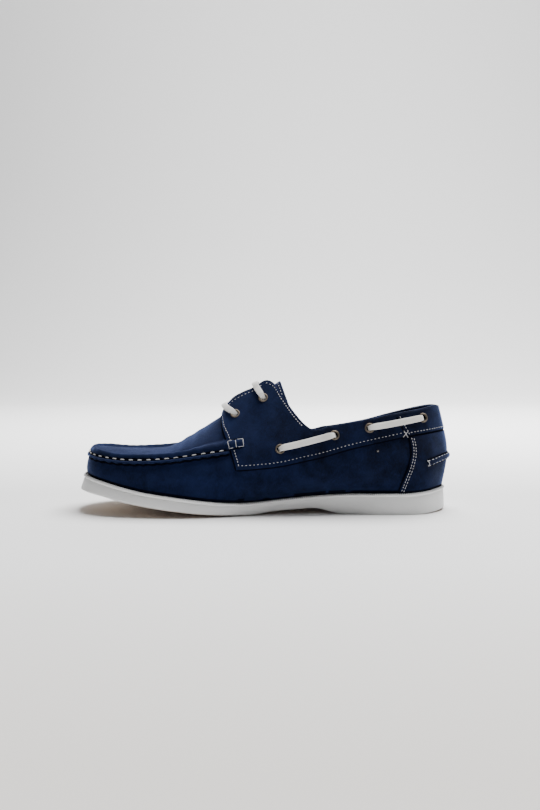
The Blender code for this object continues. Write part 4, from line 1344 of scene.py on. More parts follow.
def make_seam():
    """The gathered roll that joins the plug to the vamp, and its long white stitches."""
    sizes = bpy.context.scene.loafer
    pitch = sizes.seam_pitch / MM
    line, reach, run, outward = seam_frames(SEAM_END)
    reach = reach + SEAM_START * pitch
    columns = []
    for place, out, distance in zip(line, outward, reach):
        swell = -math.cos(2 * math.pi * distance / pitch)
        end = min(abs(distance - reach[0]), abs(distance - reach[-1]))
        full = 0.75 + 0.25 * smooth_step(end / 3.0)
        points = []
        for bead in SEAM_BEAD:
            reach_down = bead.across + (-0.28 * swell if bead.across < -2.5 else 0.0)
            foot, normal = on_seam_bead(place, out, reach_down)
            if bead.across < 0:
                share = smooth_step(1.0 + bead.across / 1.5)
                normal = unit(out * (1 - share) + normal * share + UP * 0.25)
            rise = (bead.rise + bead.gather * swell) * full * (1 - 0.4 * max(-out[0], 0.0) ** 2)
            if bead.across > 0.0:
                rise *= plug_side_height(foot[0])
            points.append(foot + normal * rise)
        columns.append(points)
    places = np.array(columns).transpose(1, 0, 2)
    smoothed = places.copy()
    smoothed[:, 1:-1] = places[:, 1:-1] * 0.5 + (places[:, :-2] + places[:, 2:]) * 0.25
    places = np.concatenate((smoothed, smoothed[:1]))
    piece = sheet("moccasin_seam", places)
    paint_shade_rows(piece, PAINTED_SHADE_ROWS, places.shape[1] - 1)
    close_ends(piece)
    finish_piece(piece, "upper_nubuck", None, "moc_seam_ridge", angle=60.0)
    spots = []
    half_count = int(min(-reach[0], reach[-1]) / pitch)
    for number in range(-half_count, half_count + 1):
        index = int(np.argmin(np.abs(reach - number * pitch)))
        foot, normal = on_seam_bead(line[index], outward[index], -0.7)
        out = unit(outward[index] * 0.8 + UP * 0.6)
        spots.append(Spot(foot + out * (1.75 - 0.6 * max(-out[0], 0.0) ** 2), run[index], out))
    stitch_copies("seam_stitches", spots, sizes.seam_stitch / MM, sizes.seam_thread / MM)


def seat_places(seats):
    """The places alone of a list of seats, each a place and a normal."""
    return np.array([place for place, _ in seats])


def measured(seats):
    """The places of seats, the run at each and its distance from the first."""
    places = seat_places(seats)
    return places, np.gradient(places, axis=0), lengths_along(places)


def rolled(name, seats, width, thickness, waists=(), squeeze=0.18):
    """A half-round roll of leather lying along seats, drawn in where a thread goes round it."""
    _, ahead, reach = measured(seats)
    rows = []
    for index, (place, normal) in enumerate(seats):
        across = unit(np.cross(normal, ahead[index]))
        end = min(reach[index], reach[-1] - reach[index])
        swell = math.sqrt(max(1.0 - max(1.0 - end / (width * 0.42), 0.0) ** 2, 0.04))
        for waist in waists:
            swell *= 1.0 - squeeze * math.exp(-(((reach[index] - waist) / 0.75) ** 2))
        row = []
        for angle in np.linspace(-20.0, 200.0, 15):
            swing = math.radians(angle)
            row.append(
                place + across * width / 2 * swell * math.cos(swing)
                + normal * thickness * (swell * max(math.sin(swing), -0.12))
            )
        rows.append(row + row[:1])
    piece = sheet(name, np.array(rows))
    close_ends(piece)
    return piece


def loop_over(seats, where, width, thickness):
    """Places of a thread that goes over a roll from one side of it to the other."""
    places, ahead, reach = measured(seats)
    index = int(np.argmin(np.abs(reach - where)))
    normal = seats[index][1]
    run = unit(ahead[index])
    across = unit(np.cross(normal, run))
    base = places[index] + run * (where - reach[index])
    swings = np.radians(np.linspace(5.0, 175.0, 11))
    return np.array([
        base + across * (width / 2) * math.cos(swing) + normal * thickness * math.sin(swing)
        for swing in swings
    ])


# Flats round a thread, and a direction that no thread runs along, from which its turn is started.
THREAD_SIDES = 8
NOT_ALONG = (0.31, 0.17, 0.93)


def thread_tubes(name, runs, radius):
    """Threads as joined round tubes, one for each run of places."""
    made = []
    for run in runs:
        places = np.asarray(run)
        ahead = np.gradient(places, axis=0)
        rows = []
        side = unit(np.cross(ahead[0], NOT_ALONG))
        for place, forward in zip(places, ahead):
            forward = unit(forward)
            side = unit(square_to(side, forward))
            up = np.cross(forward, side)
            rows.append([
                place + (side * math.cos(swing) + up * math.sin(swing)) * radius
                for swing in np.linspace(0.0, 2 * math.pi, THREAD_SIDES + 1)
            ])
        piece = sheet(name, np.array(rows))
        close_ends(piece, 0.005)
        made.append(piece)
    deselect()
    for piece in made:
        piece.select_set(True)
    bpy.context.view_layer.objects.active = made[0]
    if len(made) > 1:
        bpy.ops.object.join()
    made[0].name = name
    finish_piece(made[0], "thread", finish_of("thread"), angle=60.0)


# The end of the seam's roll over an eyestay: its middle line seen from the side, its width and its height.
SEAM_END_LINE = (Point(-34.5, 51.9), Point(-29.0, 53.9), Point(-23.0, 55.2), Point(-15.6, 56.1))
SEAM_END_WIDTH = 6.8
SEAM_END_HEIGHT = 2.8

# Where its threads go round it, measured back from its rear end.
SEAM_END_WAISTS = (12.6, 6.6, 0.9)


def make_seam_tabs():
    """The seam's roll carried over the front of each eyestay, puffed between the threads that bind it."""
    width = SEAM_END_WIDTH
    thick = SEAM_END_HEIGHT
    for side in SIDES:
        seats = []
        for along, height in smooth_line(SEAM_END_LINE, 0.35):
            place, normal = seat(along, height, side)
            over = smooth_step((along + 33.0) / 6.5)
            seats.append((place + normal * (-1.5 + 2.9 * over), normal))
        total = lengths_along(seat_places(seats))[-1]
        waists = [total - back for back in SEAM_END_WAISTS]
        piece = rolled("seam_end_" + side, seats, width, thick, waists, 0.24)
        finish_piece(piece, "upper_nubuck", finish_of("nubuck"), "seam_tab_" + side, angle=60.0)
        # A dark strip under the roll: painted shade beneath its edges.
        shade = rolled("seam_end_backing_" + side, seats[len(seats) // 3:], width + 1.8, 0.6)
        finish_piece(shade, "upper_nubuck", finish_of("edge dye and painted shade"), angle=60.0)
        runs = [loop_over(seats, waist, width * 0.84, thick * 0.86) for waist in waists]
        for first, last in ((waists[0], waists[1] - 2.4), (waists[1] + 1.6, waists[2])):
            for angle in (22.0, 150.0):
                runs.append(edge_run(seats, first, last, width, thick, angle))
        thread_tubes("seam_end_thread_" + side, runs, 0.25)


def edge_run(seats, start, end, width, thickness, angle):
    """A thread along a roll at an angle round it."""
    swing = math.radians(angle)
    places, ahead, reach = measured(seats)
    run = []
    for place, forward, (_, normal), distance in zip(places, ahead, seats, reach):
        if start <= distance <= end:
            across = unit(np.cross(normal, forward))
            if across[2] > 0:
                across = -across
            run.append(place + across * width / 2 * math.cos(swing) + normal * thickness * math.sin(swing))
    return np.array(run)


# The roll across the heel: its width, its height, how far round the heel it reaches, how high its ends lie,
# and how much higher its middle lies.
HEEL_ROLL_WIDTH = 4.3
HEEL_ROLL_HEIGHT = 2.2
HEEL_ROLL_REACH = math.radians(56.0)
HEEL_ROLL_ENDS = 39.5
HEEL_ROLL_BOW = 4.3


def make_heel_roll():
    """The roll across the back of the counter, a thread loop at each end and whipping along both edges."""
    width = HEEL_ROLL_WIDTH
    thick = HEEL_ROLL_HEIGHT
    seats = []
    for angle in np.linspace(-HEEL_ROLL_REACH, HEEL_ROLL_REACH, 150):
        height = HEEL_ROLL_ENDS + HEEL_ROLL_BOW * math.cos(angle / HEEL_ROLL_REACH * math.pi / 2)
        place, normal = seat_behind(angle, height)
        seats.append((place + normal * (OVERLAY_OUTER + 0.05), normal))
    total = lengths_along(seat_places(seats))[-1]
    piece = rolled("heel_roll_leather", seats, width, thick, (2.9, total - 2.9), 0.2)
    finish_piece(piece, "upper_nubuck", finish_of("nubuck"), "heel_roll", angle=60.0)
    # A dark strip under the roll: painted shade beneath its edges.
    shade = rolled("heel_roll_backing", seats, width + 2.2, 0.55)
    finish_piece(shade, "upper_nubuck", finish_of("edge dye and painted shade"), angle=60.0)
    runs = [loop_over(seats, waist, width * 0.95, thick * 0.95) for waist in (0.9, total - 0.9)]
    for first, last in ((0.6, 3.2), (total - 3.2, total - 0.6)):
        for angle in (25.0, 155.0):
            runs.append(edge_run(seats, first, last, width, thick, angle))
    thread_tubes("heel_roll_ends", runs, 0.34)
    spots = []
    for angle in (38.0, 152.0):
        places = edge_run(seats, 4.0, total - 4.0, width, thick, angle)
        inner = edge_run(seats, 4.0, total - 4.0, 0.0, 0.0, angle)
        rims = [(place, unit(place - base)) for place, base in zip(places, inner)]
        spots += along_seats(rims, 4.2)
    stitch_copies("heel_roll_stitches", spots, 2.3, 0.62)


# ---- Stitching ----

# A stitch: its radius at places along it, and how far its ends dip.
STITCH_PROFILE = ((0.18, -0.5), (0.38, -0.42), (0.5, -0.22), (0.5, 0.22), (0.38, 0.42), (0.18, 0.5))
STITCH_DIP = 1.6


def stitch_shape():
    """One stitch, a unit long and a unit thick, its ends dipping into the leather."""
    piece = turned("stitch", STITCH_PROFILE, 6, False)
    edit_all(piece)
    bpy.ops.transform.rotate(value=math.pi / 2, orient_axis="Y", center_override=(0.0, 0.0, 0.0))
    leave_edit()
    points, faces = shape_of(piece)
    points[:, 2] -= (points[:, 0] / MM) ** 2 * STITCH_DIP * MM
    return points, faces


def stitch_copies(name, spots, length, thick):
    """All the stitches of a name as one piece of thread."""
    piece = copies(name, stitch_shape(), spots, np.array((length, thick, thick)))
    finish_piece(piece, "thread", finish_of("thread"), angle=60.0)


def along_seats(seats, pitch, start=0.5):
    """Spots for stitches along seats, the first one a share of a pitch from their start."""
    places, ahead, reach = measured(seats)
    normals = np.array([normal for _, normal in seats])
    count = int((reach[-1] - pitch * start) / pitch)
    spots = []
    for number in range(count + 1):
        index = int(np.argmin(np.abs(reach - (number + start) * pitch)))
        near = slice(max(index - 3, 0), index + 4)
        spots.append(Spot(places[index], ahead[index], unit(normals[near].sum(axis=0))))
    return spots


def side_seats(knots, side, lift, step=0.5):
    """Seats along a side-view line, as far as the leather goes up."""
    edge = [row for row in TOP_EDGE if row.along > THROAT]
    seats = []
    for along, height in smooth_line(knots, step):
        top = np.interp(along, [row.along for row in edge], [row.height for row in edge])
        if height > top - drop(along, side, TOPLINE_DROP_END, TOPLINE_DROP_FALL) - 1.3:
            continue
        place, normal = seat(along, height, side)
        seats.append((place + normal * lift, normal))
    return seats


# Tighter rows have their stitches this share of the pitch apart.
TIGHT = 0.78

# How far inside its edge each row of stitches runs.
FRONT_INSET = 2.3
FOOT_INSET = 2.9
FLAP_FRONT_INSET = 1.8
FLAP_REAR_INSET = 2.1
COLLAR_INSET = 1.9
COUNTER_INSETS = (1.4, 3.2)
HEEL_ROW_REACH = math.radians(80.0)

# The crossed threads where the counter's rows meet the collar: the ends of each, seen from the side.
CROSSES = (((107.2, 60.1), (111.4, 64.8)), ((111.0, 59.8), (107.9, 65.0)))


def make_stitching():
    """The rows along every overlay's edge, round the heel and over the tongue, and the crossed threads."""
    sizes = bpy.context.scene.loafer
    pitch = sizes.stitch_pitch / MM
    lift = OVERLAY_OUTER + 0.1
    spots = []
    front = inset(smooth_line(EYESTAY_FRONT[1:], 1.0), FRONT_INSET)[:-3]
    foot = inset(smooth_line(FRONT_FOOT, 1.0), FOOT_INSET)[3:-2]
    edge = [p for p in TOP_EDGE if THROAT < p.along <= FLAP_FOOT]
    flap_line = smooth_line([(p.along, p.height) for p in edge], 1.0)
    peak = int(np.argmax(flap_line[:, 1]))
    flap_front = inset(flap_line[:peak + 2], -FLAP_FRONT_INSET)
    flap_rear = inset(flap_line[peak + 3:-6], -FLAP_REAR_INSET)
    collar_seam = inset(smooth_line(COLLAR_SEAM[:2], 1.0), -COLLAR_INSET)
    counter_front = smooth_line(COUNTER_FRONT, 1.0)
    counter_rows = [inset(counter_front, distance)[2 + n:] for n, distance in enumerate(COUNTER_INSETS)]
    for side in SIDES:
        spots += along_seats(side_seats(flap_front, side, lift - 0.06), pitch)
        spots += along_seats(side_seats(lowered(foot, side), side, lift - 0.14), pitch)
        for line in (front, flap_rear, collar_seam):
            spots += along_seats(side_seats(line, side, lift), pitch * TIGHT)
        for line in counter_rows:
            line = line[line[:, 1] > sole_top_height(line[:, 0]) + 1.2]
            spots += along_seats(side_seats(line, side, lift - 0.15), pitch * TIGHT)
    heel_line = smooth_line(REAR_FOOT, 1.0)
    seats = []
    for angle in np.linspace(-HEEL_ROW_REACH, HEEL_ROW_REACH, 320):
        height = 64.0
        for _ in range(3):
            place, normal = seat_behind(angle, height)
            height = np.interp(place[0], heel_line[:, 0], heel_line[:, 1]) + 2.0
        if place[0] > COLLAR_SEAM[0].along + 1.0:
            seats.append((place + normal * lift, normal))
    spots += along_seats(seats, pitch)
    places = tongue_places()
    run = places[-3, 3:-3]
    above = np.cross(places[-3, 4:-2] - run, places[-2, 3:-3] - run)
    above *= np.sign(above[:, 2:])
    reach = lengths_along(run)
    even = np.linspace(0.0, reach[-1], int(reach[-1] / 0.5))
    seats = []
    for place, up in zip(read_at(even, reach, run), read_at(even, reach, above)):
        normal = unit(up)
        seats.append((place + normal * 0.1, normal))
    spots += along_seats(seats, pitch)
    stitch_copies("row_stitches", spots, sizes.stitch_length / MM, sizes.stitch_thread / MM)
    crosses = []
    for side in SIDES:
        for start, end in np.array(CROSSES):
            knots = (start, (start + end) / 2, end)
            crosses.append(seat_places(side_seats(knots, side, lift + 0.15, 0.6)))
    thread_tubes("cross_stitches", crosses, 0.27)


# ---- Eyelets and lace ----

# Section of a rolled eyelet, turned about its middle: radius and height over the leather.
EYELET_SECTION = (
    (2.55, -1.35), (2.5, 0.1), (2.55, 0.5), (2.8, 0.88), (3.2, 1.0), (3.6, 0.86), (3.88, 0.5), (3.9, 0.12),
    (3.7, 0.0), (2.95, 0.0), (2.85, -1.3), (2.55, -1.35),
)

# The vent on the quarter: its place seen from the medial side, and its size beside an eyelet's.
VENT = Point(87.4, 50.0)
VENT_RADIUS_SHARE = 0.26
VENT_HEIGHT_SHARE = 0.5


def make_eyelets():
    """A rolled eyelet in each hole, and the small vent on the medial quarter with a pale dot in its mouth."""
    shape = shape_of(turned("eyelet", EYELET_SECTION, 32, True))
    for side in SIDES:
        for name in EYELETS:
            place, normal = eyelet_seats((name,), (side,))[0]
            spot = Spot(place + normal * OVERLAY_OUTER, FORWARD, normal)
            ending = name + "_" + side
            piece = copies("rolled_eyelet_" + ending, shape, [spot], np.ones(3))
            finish_piece(piece, "eyelet_brass", finish_of("brass"), "eyelet_" + ending, angle=50.0)
    section = [(radius * VENT_RADIUS_SHARE, height * VENT_HEIGHT_SHARE) for radius, height in EYELET_SECTION]
    vent = shape_of(turned("vent", section, 16, True))
    place, normal = seat(*VENT, "medial")
    piece = copies("vent_eyelet", vent, [Spot(place + normal * 0.05, FORWARD, normal)], np.ones(3))
    finish_piece(piece, "eyelet_brass", finish_of("brass"), angle=50.0)
    stitch_copies("vent_mouth", [Spot(place + normal * 0.4, normal, UP)], 0.9, 0.9)


def strap(name, places, normals, widths, thickness, *nodes):
    """A flat lace with rounded edges along places, each place under its middle."""
    places = np.asarray(places)
    normals = np.asarray(normals)
    ahead = np.gradient(places, axis=0)
    rows = []
    for place, normal, forward, width in zip(places, normals, ahead, widths):
        across = unit(np.cross(normal, forward))
        up = unit(np.cross(forward, across))
        row = []
        for swing in np.linspace(0.0, 2 * math.pi, 21):
            sideways = math.cos(swing)
            upwards = math.sin(swing)
            flat = math.copysign(abs(sideways) ** LACE_FLATNESS, sideways)
            high = math.copysign(abs(upwards) ** LACE_ROUNDING, upwards)
            row.append(place + across * width / 2 * flat + up * thickness / 2 * (1 + high))
        rows.append(row)
    piece = sheet(name, np.array(rows))
    close_ends(piece)
    finish_piece(piece, "lace_leather", finish_of("lace"), *nodes, angle=50.0)


# Powers that flatten the lace's round section and round its edges.
LACE_FLATNESS = 0.22
LACE_ROUNDING = 0.45

# The lace's thickness, and the share of its width that is left where it is drawn into an eyelet.
LACE_THICKNESS = 1.6
LACE_PINCH = 0.76

# The runs along each side, from eyelet to eyelet.
LACE_RUNS = {"front": ("side_front", "side_middle"), "rear": ("side_rear", "heel")}

# Where each bar over the throat crosses the edges of the flaps, seen from the side.
LACE_CROSSINGS = {"low": Point(-30.9, 82.0), "high": Point(-6.6, 98.5)}


def lace_width(far, start):
    """Width of the lace at a distance from an eyelet's centre: full from 4 mm behind the start."""
    full = bpy.context.scene.loafer.lace_width / MM
    return full * (LACE_PINCH + (1 - LACE_PINCH) * smooth_step((far - start) / 4.0))


def make_side_laces():
    """Two runs of lace along each side, each from an eyelet over the leather into the next."""
    for side in SIDES:
        for name, (first, last) in LACE_RUNS.items():
            start, end = np.array(lowered((EYELETS[first], EYELETS[last]), side))
            run = np.linalg.norm(end - start)
            places = []
            normals = []
            widths = []
            for share in smooth_ends(60):
                place, normal = seat(*(start * (1 - share) + end * share), side)
                far = min(share, 1 - share) * run
                places.append(place + normal * lace_lift(far))
                normals.append(normal)
                widths.append(lace_width(far, 0.5))
            normals = smooth_rows(np.array(normals), 6)
            places = smooth_rows(np.array(places), 2)
            ending = name + "_" + side
            strap("lace_run_" + ending, places, normals, widths, LACE_THICKNESS, "lace_" + ending)


def make_throat_laces():
    """Two bars of lace from an eyelet up the flap, across the throat and down into the eyelet opposite."""
    for name, crossing in LACE_CROSSINGS.items():
        eyelet = EYELETS["throat_" + name]
        length = math.hypot(eyelet.along - crossing.along, eyelet.height - crossing.height)
        halves = []
        for side in SIDES:
            places = []
            normals = []
            for share in (0.0, 0.1, 0.22, 0.4, 0.6, 0.8):
                along = eyelet.along * (1 - share) + crossing.along * share
                height = eyelet.height * (1 - share) + crossing.height * share
                place, normal = seat(along, height, side)
                places.append(place + normal * max(lace_lift(share * length), -1.0))
                normals.append(normal)
            over = unit(normals[-1] * 0.6 + np.array((-0.2, 0.0, 0.5)))
            edge = np.array((crossing.along, SIDES[side] * 10.0, crossing.height))
            places.append(edge + over * (OVERLAY_OUTER + GAP + 0.6))
            normals.append(over)
            halves.append((places, normals))
        centre = np.array((crossing.along - 0.6, 0.0, crossing.height + 2.4))
        places = np.array(halves[0][0] + [centre] + halves[1][0][::-1])
        normals = np.array(halves[0][1] + [np.array((-0.45, 0.0, 0.89))] + halves[1][1][::-1])
        reach = lengths_along(places)
        steps = np.linspace(0.0, reach[-1], 90)
        widths = lace_width(np.minimum(steps, reach[-1] - steps), 2.0)
        fine = curve_at(steps, reach, places)
        out = curve_at(steps, reach, normals)
        strap("lace_bar_" + name, fine, out, widths, LACE_THICKNESS, "lace_throat_" + name)


def lace_lift(far):
    """Height of the lace's underside above the skin, at a distance from its eyelet's centre."""
    inside = -0.6
    over = OVERLAY_OUTER + 1.15
    rest = OVERLAY_OUTER + 0.25
    rise = smooth_step((far + 0.4) / 2.6)
    fall = smooth_step((far - 4.0) / 7.0)
    return inside * (1 - rise) + (over * (1 - fall) + rest * fall) * rise


def smooth_ends(count):
    """Shares of a run, closer together near its ends."""
    return (1 - np.cos(np.linspace(0.0, math.pi, count))) / 2


def smooth_rows(values, times):
    """Rows evened out with their neighbours a number of times, the first and last kept."""
    values = values.copy()
    for _ in range(times):
        values[1:-1] = (values[:-2] + 2 * values[1:-1] + values[2:]) / 4
    return values


# ---- What a user may change ----

def length_property(name, value, description):
    """A size in metres that a user may change."""
    return FloatProperty(name=name, description=description, default=value, unit="LENGTH")


def colour_property(name, value, description):
    """A colour that a user may change."""
    return FloatVectorProperty(
        name=name, description=description, default=value,
        subtype="COLOR", size=3, min=0.0, max=1.0,
    )


class LoaferSettings(bpy.types.PropertyGroup):
    """Sizes and colours of the dressed loafer."""

    seam_pitch: length_property("Seam pitch", 0.007, "Distance between the moccasin seam's stitches")
    seam_stitch: length_property("Seam stitch", 0.0035, "Length of one moccasin stitch")
    seam_thread: length_property("Seam thread", 0.00088, "Thickness of the moccasin seam's thread")
    stitch_pitch: length_property("Stitch pitch", 0.003, "Distance between the overlays' stitches")
    stitch_length: length_property("Stitch length", 0.0014, "Length of one overlay stitch")
    stitch_thread: length_property("Stitch thread", 0.00055, "Thickness of the overlays' thread")
    tooth_pitch: length_property("Tooth pitch", 0.0016, "Distance between the teeth of the milled lip")
    tooth_height: length_property("Tooth height", 0.0007, "How far the milled teeth stand up")
    lace_width: length_property("Lace width", 0.005, "Width of the flat lace")
    nubuck: colour_property("Nubuck", (0.0024, 0.0068, 0.0315), "Colour of the upper's nubuck")
    rubber: colour_property("Rubber", (0.74, 0.74, 0.735), "Colour of the sole's rubber")
    tread: colour_property("Tread", (0.5, 0.36, 0.24), "Colour of the tread under the sole")
    lining: colour_property("Lining", (0.012, 0.03, 0.1), "Colour of the upper's lining")
    insole: colour_property("Insole", (0.36, 0.22, 0.12), "Colour of the insole's leather")
    lace: colour_property("Lace", (0.8, 0.785, 0.76), "Colour of the lace")
    thread: colour_property("Thread", (0.48, 0.475, 0.48), "Colour of the stitching")
    brass: colour_property("Brass", (0.15, 0.125, 0.1), "Colour of the eyelets' brass")


# ---- Finishes ----

def make_node(tree, kind, inputs=None, **values):
    """A node with its values set and its inputs given or joined."""
    node = tree.nodes.new(kind)
    for name, value in values.items():
        setattr(node, name, value)
    for name, value in (inputs or {}).items():
        if isinstance(value, bpy.types.NodeSocket):
            tree.links.new(value, node.inputs[name])
        else:
            node.inputs[name].default_value = value
    return node


def new_group(name, **values):
    """An empty group: a place, a colour and named values in, a colour, roughness and height out."""
    tree = bpy.data.node_groups.new(name, "ShaderNodeTree")
    tree.interface.new_socket(name="Vector", in_out="INPUT", socket_type="NodeSocketVector")
    colour = tree.interface.new_socket(name="Colour", in_out="INPUT", socket_type="NodeSocketColor")
    colour.default_value = (0.5, 0.5, 0.5, 1.0)
    for label, value in values.items():
        socket = tree.interface.new_socket(name=label, in_out="INPUT", socket_type="NodeSocketFloat")
        socket.default_value = value
    tree.interface.new_socket(name="Colour", in_out="OUTPUT", socket_type="NodeSocketColor")
    for label in ("Roughness", "Height"):
        tree.interface.new_socket(name=label, in_out="OUTPUT", socket_type="NodeSocketFloat")
    return tree, tree.nodes.new("NodeGroupInput").outputs, tree.nodes.new("NodeGroupOutput").inputs


def noise_at(tree, vector, scale, detail, roughness=0.5, distortion=0.0):
    """Cloudy noise at a place, from 0 to 1."""
    node = make_node(
        tree, "ShaderNodeTexNoise",
        {
            "Vector": vector, "Scale": scale, "Detail": detail,
            "Roughness": roughness, "Distortion": distortion,
        },
    )
    return node.outputs["Fac"]


def ranged(tree, value, given, wanted):
    """A value moved from one range to another and kept within it."""
    low, high = given
    to_low, to_high = wanted
    node = make_node(
        tree, "ShaderNodeMapRange",
        {"Value": value, "From Min": low, "From Max": high, "To Min": to_low, "To Max": to_high},
    )
    return node.outputs["Result"]


def maths(tree, operation, first, second):
    return make_node(tree, "ShaderNodeMath", {0: first, 1: second}, operation=operation).outputs[0]


def plus(tree, first, second):
    return maths(tree, "ADD", first, second)


def minus(tree, first, second):
    return maths(tree, "SUBTRACT", first, second)


def times(tree, first, second):
    return maths(tree, "MULTIPLY", first, second)


def blend(tree, factor, first, second):
    """A colour between two colours."""
    node = make_node(tree, "ShaderNodeMix", {0: factor, 6: first, 7: second}, data_type="RGBA")
    return node.outputs[2]


def tinted(tree, colour, factor):
    """A colour made lighter or darker by a factor that varies."""
    node = make_node(tree, "ShaderNodeHueSaturation", {"Color": colour, "Value": factor})
    return node.outputs["Color"]


# What noise gives in its middle, spread evenly about nothing.
NOISE_MIDDLE = (0.3, 0.7)
EVEN = (-1.0, 1.0)
SHARE = (0.0, 1.0)

# Painted shade darkens the nubuck behind this range of places along the shoe, which slants back with height.
PAINTED_QUARTER_SHADE_RANGE = (-0.045, 0.005)
PAINTED_QUARTER_SHADE_SLANT = 0.6


@cache
def nap_group():
    """Brushed nap: clouds where it lies this way or that, fine fibres, and painted shade on the quarters."""
    tree, given, out = new_group("Brushed nap", Clouds=0.35, Fibres=0.2, Quarters=0.0)
    place = given["Vector"]
    clouds = noise_at(tree, place, scale=95.0, detail=5.0, roughness=0.62, distortion=0.4)
    clouds = ranged(tree, clouds, NOISE_MIDDLE, EVEN)
    broad = ranged(tree, noise_at(tree, place, scale=26.0, detail=2.0), NOISE_MIDDLE, EVEN)
    combed = make_node(
        tree, "ShaderNodeMapping",
        {"Vector": place, "Scale": (1.0, 1.0, 0.35), "Rotation": (0.0, 0.35, 0.0)},
    ).outputs["Vector"]
    fibres = noise_at(tree, combed, scale=1500.0, detail=3.0, roughness=0.65)
    fibres = ranged(tree, fibres, (0.25, 0.75), EVEN)
    shade = times(tree, plus(tree, clouds, times(tree, broad, 0.7)), given["Clouds"])
    shade = plus(tree, shade, times(tree, fibres, given["Fibres"]))
    parts = make_node(tree, "ShaderNodeSeparateXYZ", {"Vector": place}).outputs
    # Painted shade: the colour darkens behind the throat, on the quarters, counter and collar.
    behind = minus(tree, parts["X"], times(tree, parts["Z"], PAINTED_QUARTER_SHADE_SLANT))
    quarters = ranged(tree, behind, PAINTED_QUARTER_SHADE_RANGE, SHARE)
    shade = minus(tree, shade, times(tree, quarters, given["Quarters"]))
    tree.links.new(tinted(tree, given["Colour"], plus(tree, shade, 1.0)), out["Colour"])
    tree.links.new(ranged(tree, clouds, EVEN, (0.98, 0.82)), out["Roughness"])
    relief_height = plus(tree, times(tree, fibres, 0.5), times(tree, clouds, 0.08))
    tree.links.new(relief_height, out["Height"])
    return tree


@cache
def grain_group():
    """Leather grain: small closed cells with fine creases between them, and slow changes of shade."""
    tree, given, out = new_group("Leather grain", Scale=900.0, Wear=0.15)
    place = given["Vector"]
    cells = make_node(
        tree, "ShaderNodeTexVoronoi", {"Vector": place, "Scale": given["Scale"]}, feature="SMOOTH_F1",
    ).outputs["Distance"]
    slow = noise_at(tree, place, scale=60.0, detail=4.0, roughness=0.6)
    slow = ranged(tree, slow, NOISE_MIDDLE, EVEN)
    shade = minus(tree, times(tree, slow, given["Wear"]), times(tree, cells, 0.12))
    tree.links.new(tinted(tree, given["Colour"], plus(tree, shade, 1.05)), out["Colour"])
    tree.links.new(ranged(tree, slow, EVEN, (0.62, 0.45)), out["Roughness"])
    tree.links.new(cells, out["Height"])
    return tree


@cache
def scuff_group():
    """Handling marks: faint grey scuffs and a little dust, thicker near the floor."""
    tree, given, out = new_group("Scuffs and dust", Scuffs=0.1, Dust=0.1)
    place = given["Vector"]
    drawn = make_node(
        tree, "ShaderNodeMapping", {"Vector": place, "Scale": (0.3, 1.0, 1.6)},
    ).outputs["Vector"]
    scuffs = noise_at(tree, drawn, scale=420.0, detail=5.0, roughness=0.7)
    scuffs = ranged(tree, scuffs, (0.58, 0.75), SHARE)
    patches = ranged(tree, noise_at(tree, place, scale=35.0, detail=3.0), (0.35, 0.7), SHARE)
    low = make_node(tree, "ShaderNodeSeparateXYZ", {"Vector": place}).outputs["Z"]
    near_floor = ranged(tree, low, (0.0, 0.02), (1.0, 0.25))
    marks = times(tree, times(tree, scuffs, patches), given["Scuffs"])
    dust = times(tree, times(tree, patches, near_floor), given["Dust"])
    shade = minus(tree, 1.0, plus(tree, marks, dust))
    tree.links.new(tinted(tree, given["Colour"], shade), out["Colour"])
    tree.links.new(ranged(tree, patches, SHARE, (0.46, 0.62)), out["Roughness"])
    tree.links.new(noise_at(tree, place, scale=1200.0, detail=3.0), out["Height"])
    return tree


# A finish: the setting with its colour and how much of that colour it has, the strength of its relief and its
# depth in millimetres, its group with the group's own values, its gloss and the shader's other values.
Finish = namedtuple("Finish", "title colour tone strength depth group effect gloss shader", defaults=({},))
FINISHES = {
    # The nubuck's last group value sets the painted shade on the quarters.
    "nubuck": Finish(
        "navy nubuck", "nubuck", 1.0, 0.35, 0.2,
        nap_group, {"Clouds": 0.34, "Fibres": 0.32, "Quarters": 0.36}, 0.12,
        {"Sheen Weight": 0.54, "Sheen Roughness": 0.36, "Sheen Tint": (0.27, 0.38, 0.82, 1.0)},
    ),
    # The dark edge finish: real dye on cut edges, and painted shade where it lines overlays, rolls, the seam
    # and the upper's foot.
    "edge dye and painted shade": Finish(
        "dyed cut edge", "nubuck", 0.18, 0.3, 0.2, nap_group, {"Clouds": 0.1, "Fibres": 0.2}, 0.05,
    ),
    "lining": Finish(
        "navy lining", "lining", 1.0, 0.35, 0.2, grain_group, {"Scale": 1300.0, "Wear": 0.12}, 0.3,
    ),
    "insole": Finish(
        "insole leather", "insole", 1.0, 0.4, 0.25, grain_group, {"Scale": 700.0, "Wear": 0.22}, 0.4,
    ),
    "lace": Finish(
        "lace leather", "lace", 1.0, 0.4, 0.15, grain_group, {"Scale": 1400.0, "Wear": 0.1}, 0.35,
    ),
    "rubber": Finish(
        "white rubber", "rubber", 1.0, 0.15, 0.15, scuff_group, {"Scuffs": 0.1, "Dust": 0.08}, 0.4,
    ),
    "milled rubber": Finish(
        "milled rubber", "rubber", 1.0, 0.1, 0.1, scuff_group, {"Scuffs": 0.05, "Dust": 0.02}, 0.4,
    ),
    "tread": Finish(
        "siped tread", "tread", 1.0, 0.3, 0.2, scuff_group, {"Scuffs": 0.15, "Dust": 0.15}, 0.3,
    ),
    "thread": Finish(
        "waxed thread", "thread", 1.0, 0.5, 0.12, grain_group, {"Scale": 2600.0, "Wear": 0.12}, 0.35,
        {"Sheen Weight": 0.1},
    ),
    "brass": Finish(
        "antique brass", "brass", 1.0, 0.12, 0.05, scuff_group, {"Scuffs": 0.5, "Dust": 0.1}, 0.5,
        {"Metallic": 1.0},
    ),
}

